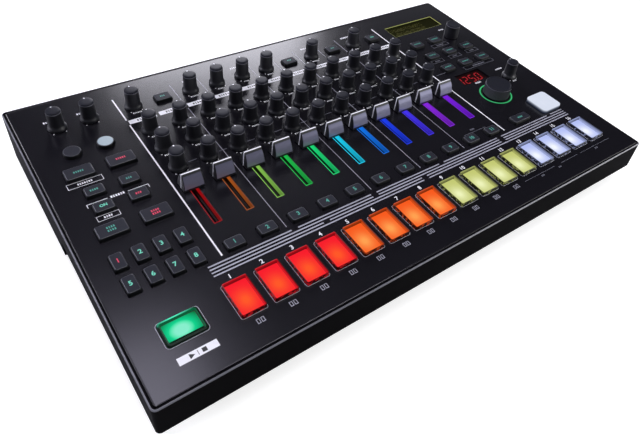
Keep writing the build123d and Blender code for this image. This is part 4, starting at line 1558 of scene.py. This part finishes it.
pad_bezel = bezel(0, 0, pad_half[0] + bezel_gap + 0.25, pad_half[1] + bezel_gap + 0.25, 1.4, 0.25)
copy_row("pad_bezels", pad_bezel, pad_places, bezel_gloss, "chassis")
start_bezel = bezel(start_spot.x, start_spot.y, start_half[0] + 0.75, start_half[1] + 0.75, 2.4, 0.35)
piece("start_bezel", start_bezel, "chassis", [bezel_gloss])

panel_low, panel_high = (in_panel(corner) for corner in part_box("panel_plate"))
bead = Body()
bead_levels = [(0.0, -0.5), (0.0, 0.0), (0.12, 0.1), (0.45, 0.1), (0.6, 0.0), (0.6, -0.5)]
panel_middle = (panel_low + panel_high) / 2
panel_half = (panel_high - panel_low) / 2
rings = [rounded(panel_middle.x, panel_middle.y, panel_half.x - inset, panel_half.y - inset,
                 1.2 - inset * 0.5, z, 6)
         for inset, z in bead_levels]
bead.stack(rings, [0] * len(rings), closed=False)
piece("panel_edge", bead, "chassis", [panel_paint])

rim_low, rim_high = in_panel(case_low), in_panel(case_high)
rim_middle = (rim_low + rim_high) / 2
rim_half = (rim_high - rim_low) / 2
# The strip is painted light grey as a highlight on the rim's bevel.
rim_strip = Body()
strip_levels = [(0.9, -0.5), (0.8, 0.0), (0.55, 0.0), (0.0, -0.55), (0.0, -0.8), (0.3, -0.9)]
rings = [rounded(rim_middle.x, rim_middle.y, rim_half.x - inset, rim_half.y - inset, 3.0 - inset * 0.8, z, 6)
         for inset, z in strip_levels]
rim_strip.stack(rings, [0] * len(rings), closed=False)
piece("rim_bevel", rim_strip, "chassis", [rim_gloss])

# %% [markdown]
# ## Finishes for the solids that stay
#
# The panel, the case, the tray and the sockets are right as they are. They only need their finish. The
# board inside is green, and what is soldered to it is black, which a height in the material tells apart.

# %% Finishes of the solids


def board_patterns(s):
    """Green where the board is, black above it."""
    z = s.where()[2]
    board_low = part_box("control_board")[0].z
    cloud = s.noise(0.002)
    is_board = z < board_low + 1.65 * MM
    part = cloud.mix(tint("0c0c0e"), tint("1c1c20"))
    return {"Base Color": is_board.mix(part, tint("14482a")), "Roughness": cloud * 0.2 + 0.4}


board_finish = finish("board_green", board_patterns)
solid_finishes = {
    "panel_plate": panel_paint, "cover_frame": case_plastic, "bottom_tray": case_plastic,
    "rubber_feet": foot_rubber, "case_screws": steel, "control_board": board_finish,
    "display_windows": display_glass, "rear_sockets": socket_plastic, "power_switch": key_rubber,
}
for node, material in solid_finishes.items():
    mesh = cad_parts[node].data
    mesh.materials.clear()
    mesh.materials.append(material)

# %% [markdown]
# ## Floor and light
#
# The floor is pale and large, and the camera sees it and the world as white, as paper in a studio. The
# rest of the room is dark, so that the black panel stays black. There are six lamps. The one overhead gives
# most of the light. A cool one high at the rear left is mirrored as the sheen near the front left corner. A
# bright one behind is mirrored in the rear of the panel, and a wide dim wall stands beside it. Two at the
# sides draw the light edges on knobs, caps and rim.

# %% Floor
floor_half = 3000.0
floor_body = Body()
floor_z = -PANEL_TOP / MM
floor_body.block((-floor_half, -floor_half, floor_z - 20), (floor_half, floor_half, floor_z - 0.01))
floor_mesh = bpy.data.meshes.new("floor")
floor_mesh.from_pydata([place(*point) for point in floor_body.points], [], floor_body.faces)


def floor_patterns(s):
    """Nearly white paper with a breath of variation, which the camera sees a little brighter."""
    cloud = s.noise(0.5)
    seen = s.node("LightPath", output="Is Camera Ray")
    glow = seen.mix((0.0, 0.0, 0.0), (0.78, 0.78, 0.78))
    return {"Base Color": cloud.mix((0.55, 0.55, 0.56), (0.57, 0.57, 0.58)), "Emission Color": glow}


floor_mesh.materials.append(finish("floor_paper", floor_patterns, Roughness=0.9, Emission_Strength=1.0,
                                   Specular_IOR_Level=0.0))
floor = bpy.data.objects.new("floor", floor_mesh)
bpy.context.scene.collection.objects.link(floor)

# %% World
world = bpy.data.worlds.new("studio")
world.use_nodes = True
bpy.context.scene.world = world
background = world.node_tree.nodes["Background"]
sky = Shade(world.node_tree)
direction = sky.node("TexCoord", output="Generated")
height = Shade(world.node_tree, sky.node("SeparateXYZ", {"Vector": direction}).socket.node.outputs["Z"])
near_horizon = (1 - height.math("ABSOLUTE", height) / 0.3).clamp()
seen = sky.node("LightPath", output="Is Camera Ray")
soft = near_horizon.mix((0.04, 0.04, 0.045), (0.12, 0.12, 0.125))
colour = seen.mix(soft, (1.0, 1.0, 1.0))
world.node_tree.links.new(colour.socket, background.inputs["Color"])

# %% Lamps


def softbox(name, x, y, z, target, width, depth, strength, colour=(1.0, 1.0, 1.0)):
    """A soft lamp in panel millimetres, turned to its target. strength is its brightness as seen."""
    lamp = bpy.data.lights.new(name, "AREA")
    lamp.shape = "RECTANGLE"
    lamp.size, lamp.size_y = width * MM, depth * MM
    lamp.energy = strength * pi * lamp.size * lamp.size_y
    lamp.color = colour
    made = bpy.data.objects.new(name, lamp)
    bpy.context.scene.collection.objects.link(made)
    made.location = place(x, y, z)
    made.rotation_mode = "QUATERNION"
    made.rotation_quaternion = (place(*target) - place(x, y, z)).to_track_quat("-Z", "Y")


softbox("overhead", 250, -100, 1100, (200, 130, 0), 700, 500, 5.4)
softbox("corner_sheen", 0, 440, 900, (0, 20, 0), 400, 330, 4.9, (0.93, 0.9, 1.12))
softbox("rear_softbox", 600, 1200, 345, (180, 250, 0), 500, 640, 9.0, (0.97, 0.96, 1.06))
softbox("rear_wall", 800, 1260, 330, (200, 230, 0), 1800, 300, 0.45, (0.95, 0.98, 1.07))
softbox("left_softbox", -650, 760, 420, (150, 130, 0), 760, 480, 5.5, (0.95, 0.94, 1.1))
softbox("right_softbox", 1000, -520, 300, (300, 150, 0), 700, 420, 5.0)

# %% View transform
view = bpy.context.scene.view_settings
view.view_transform = "Standard"
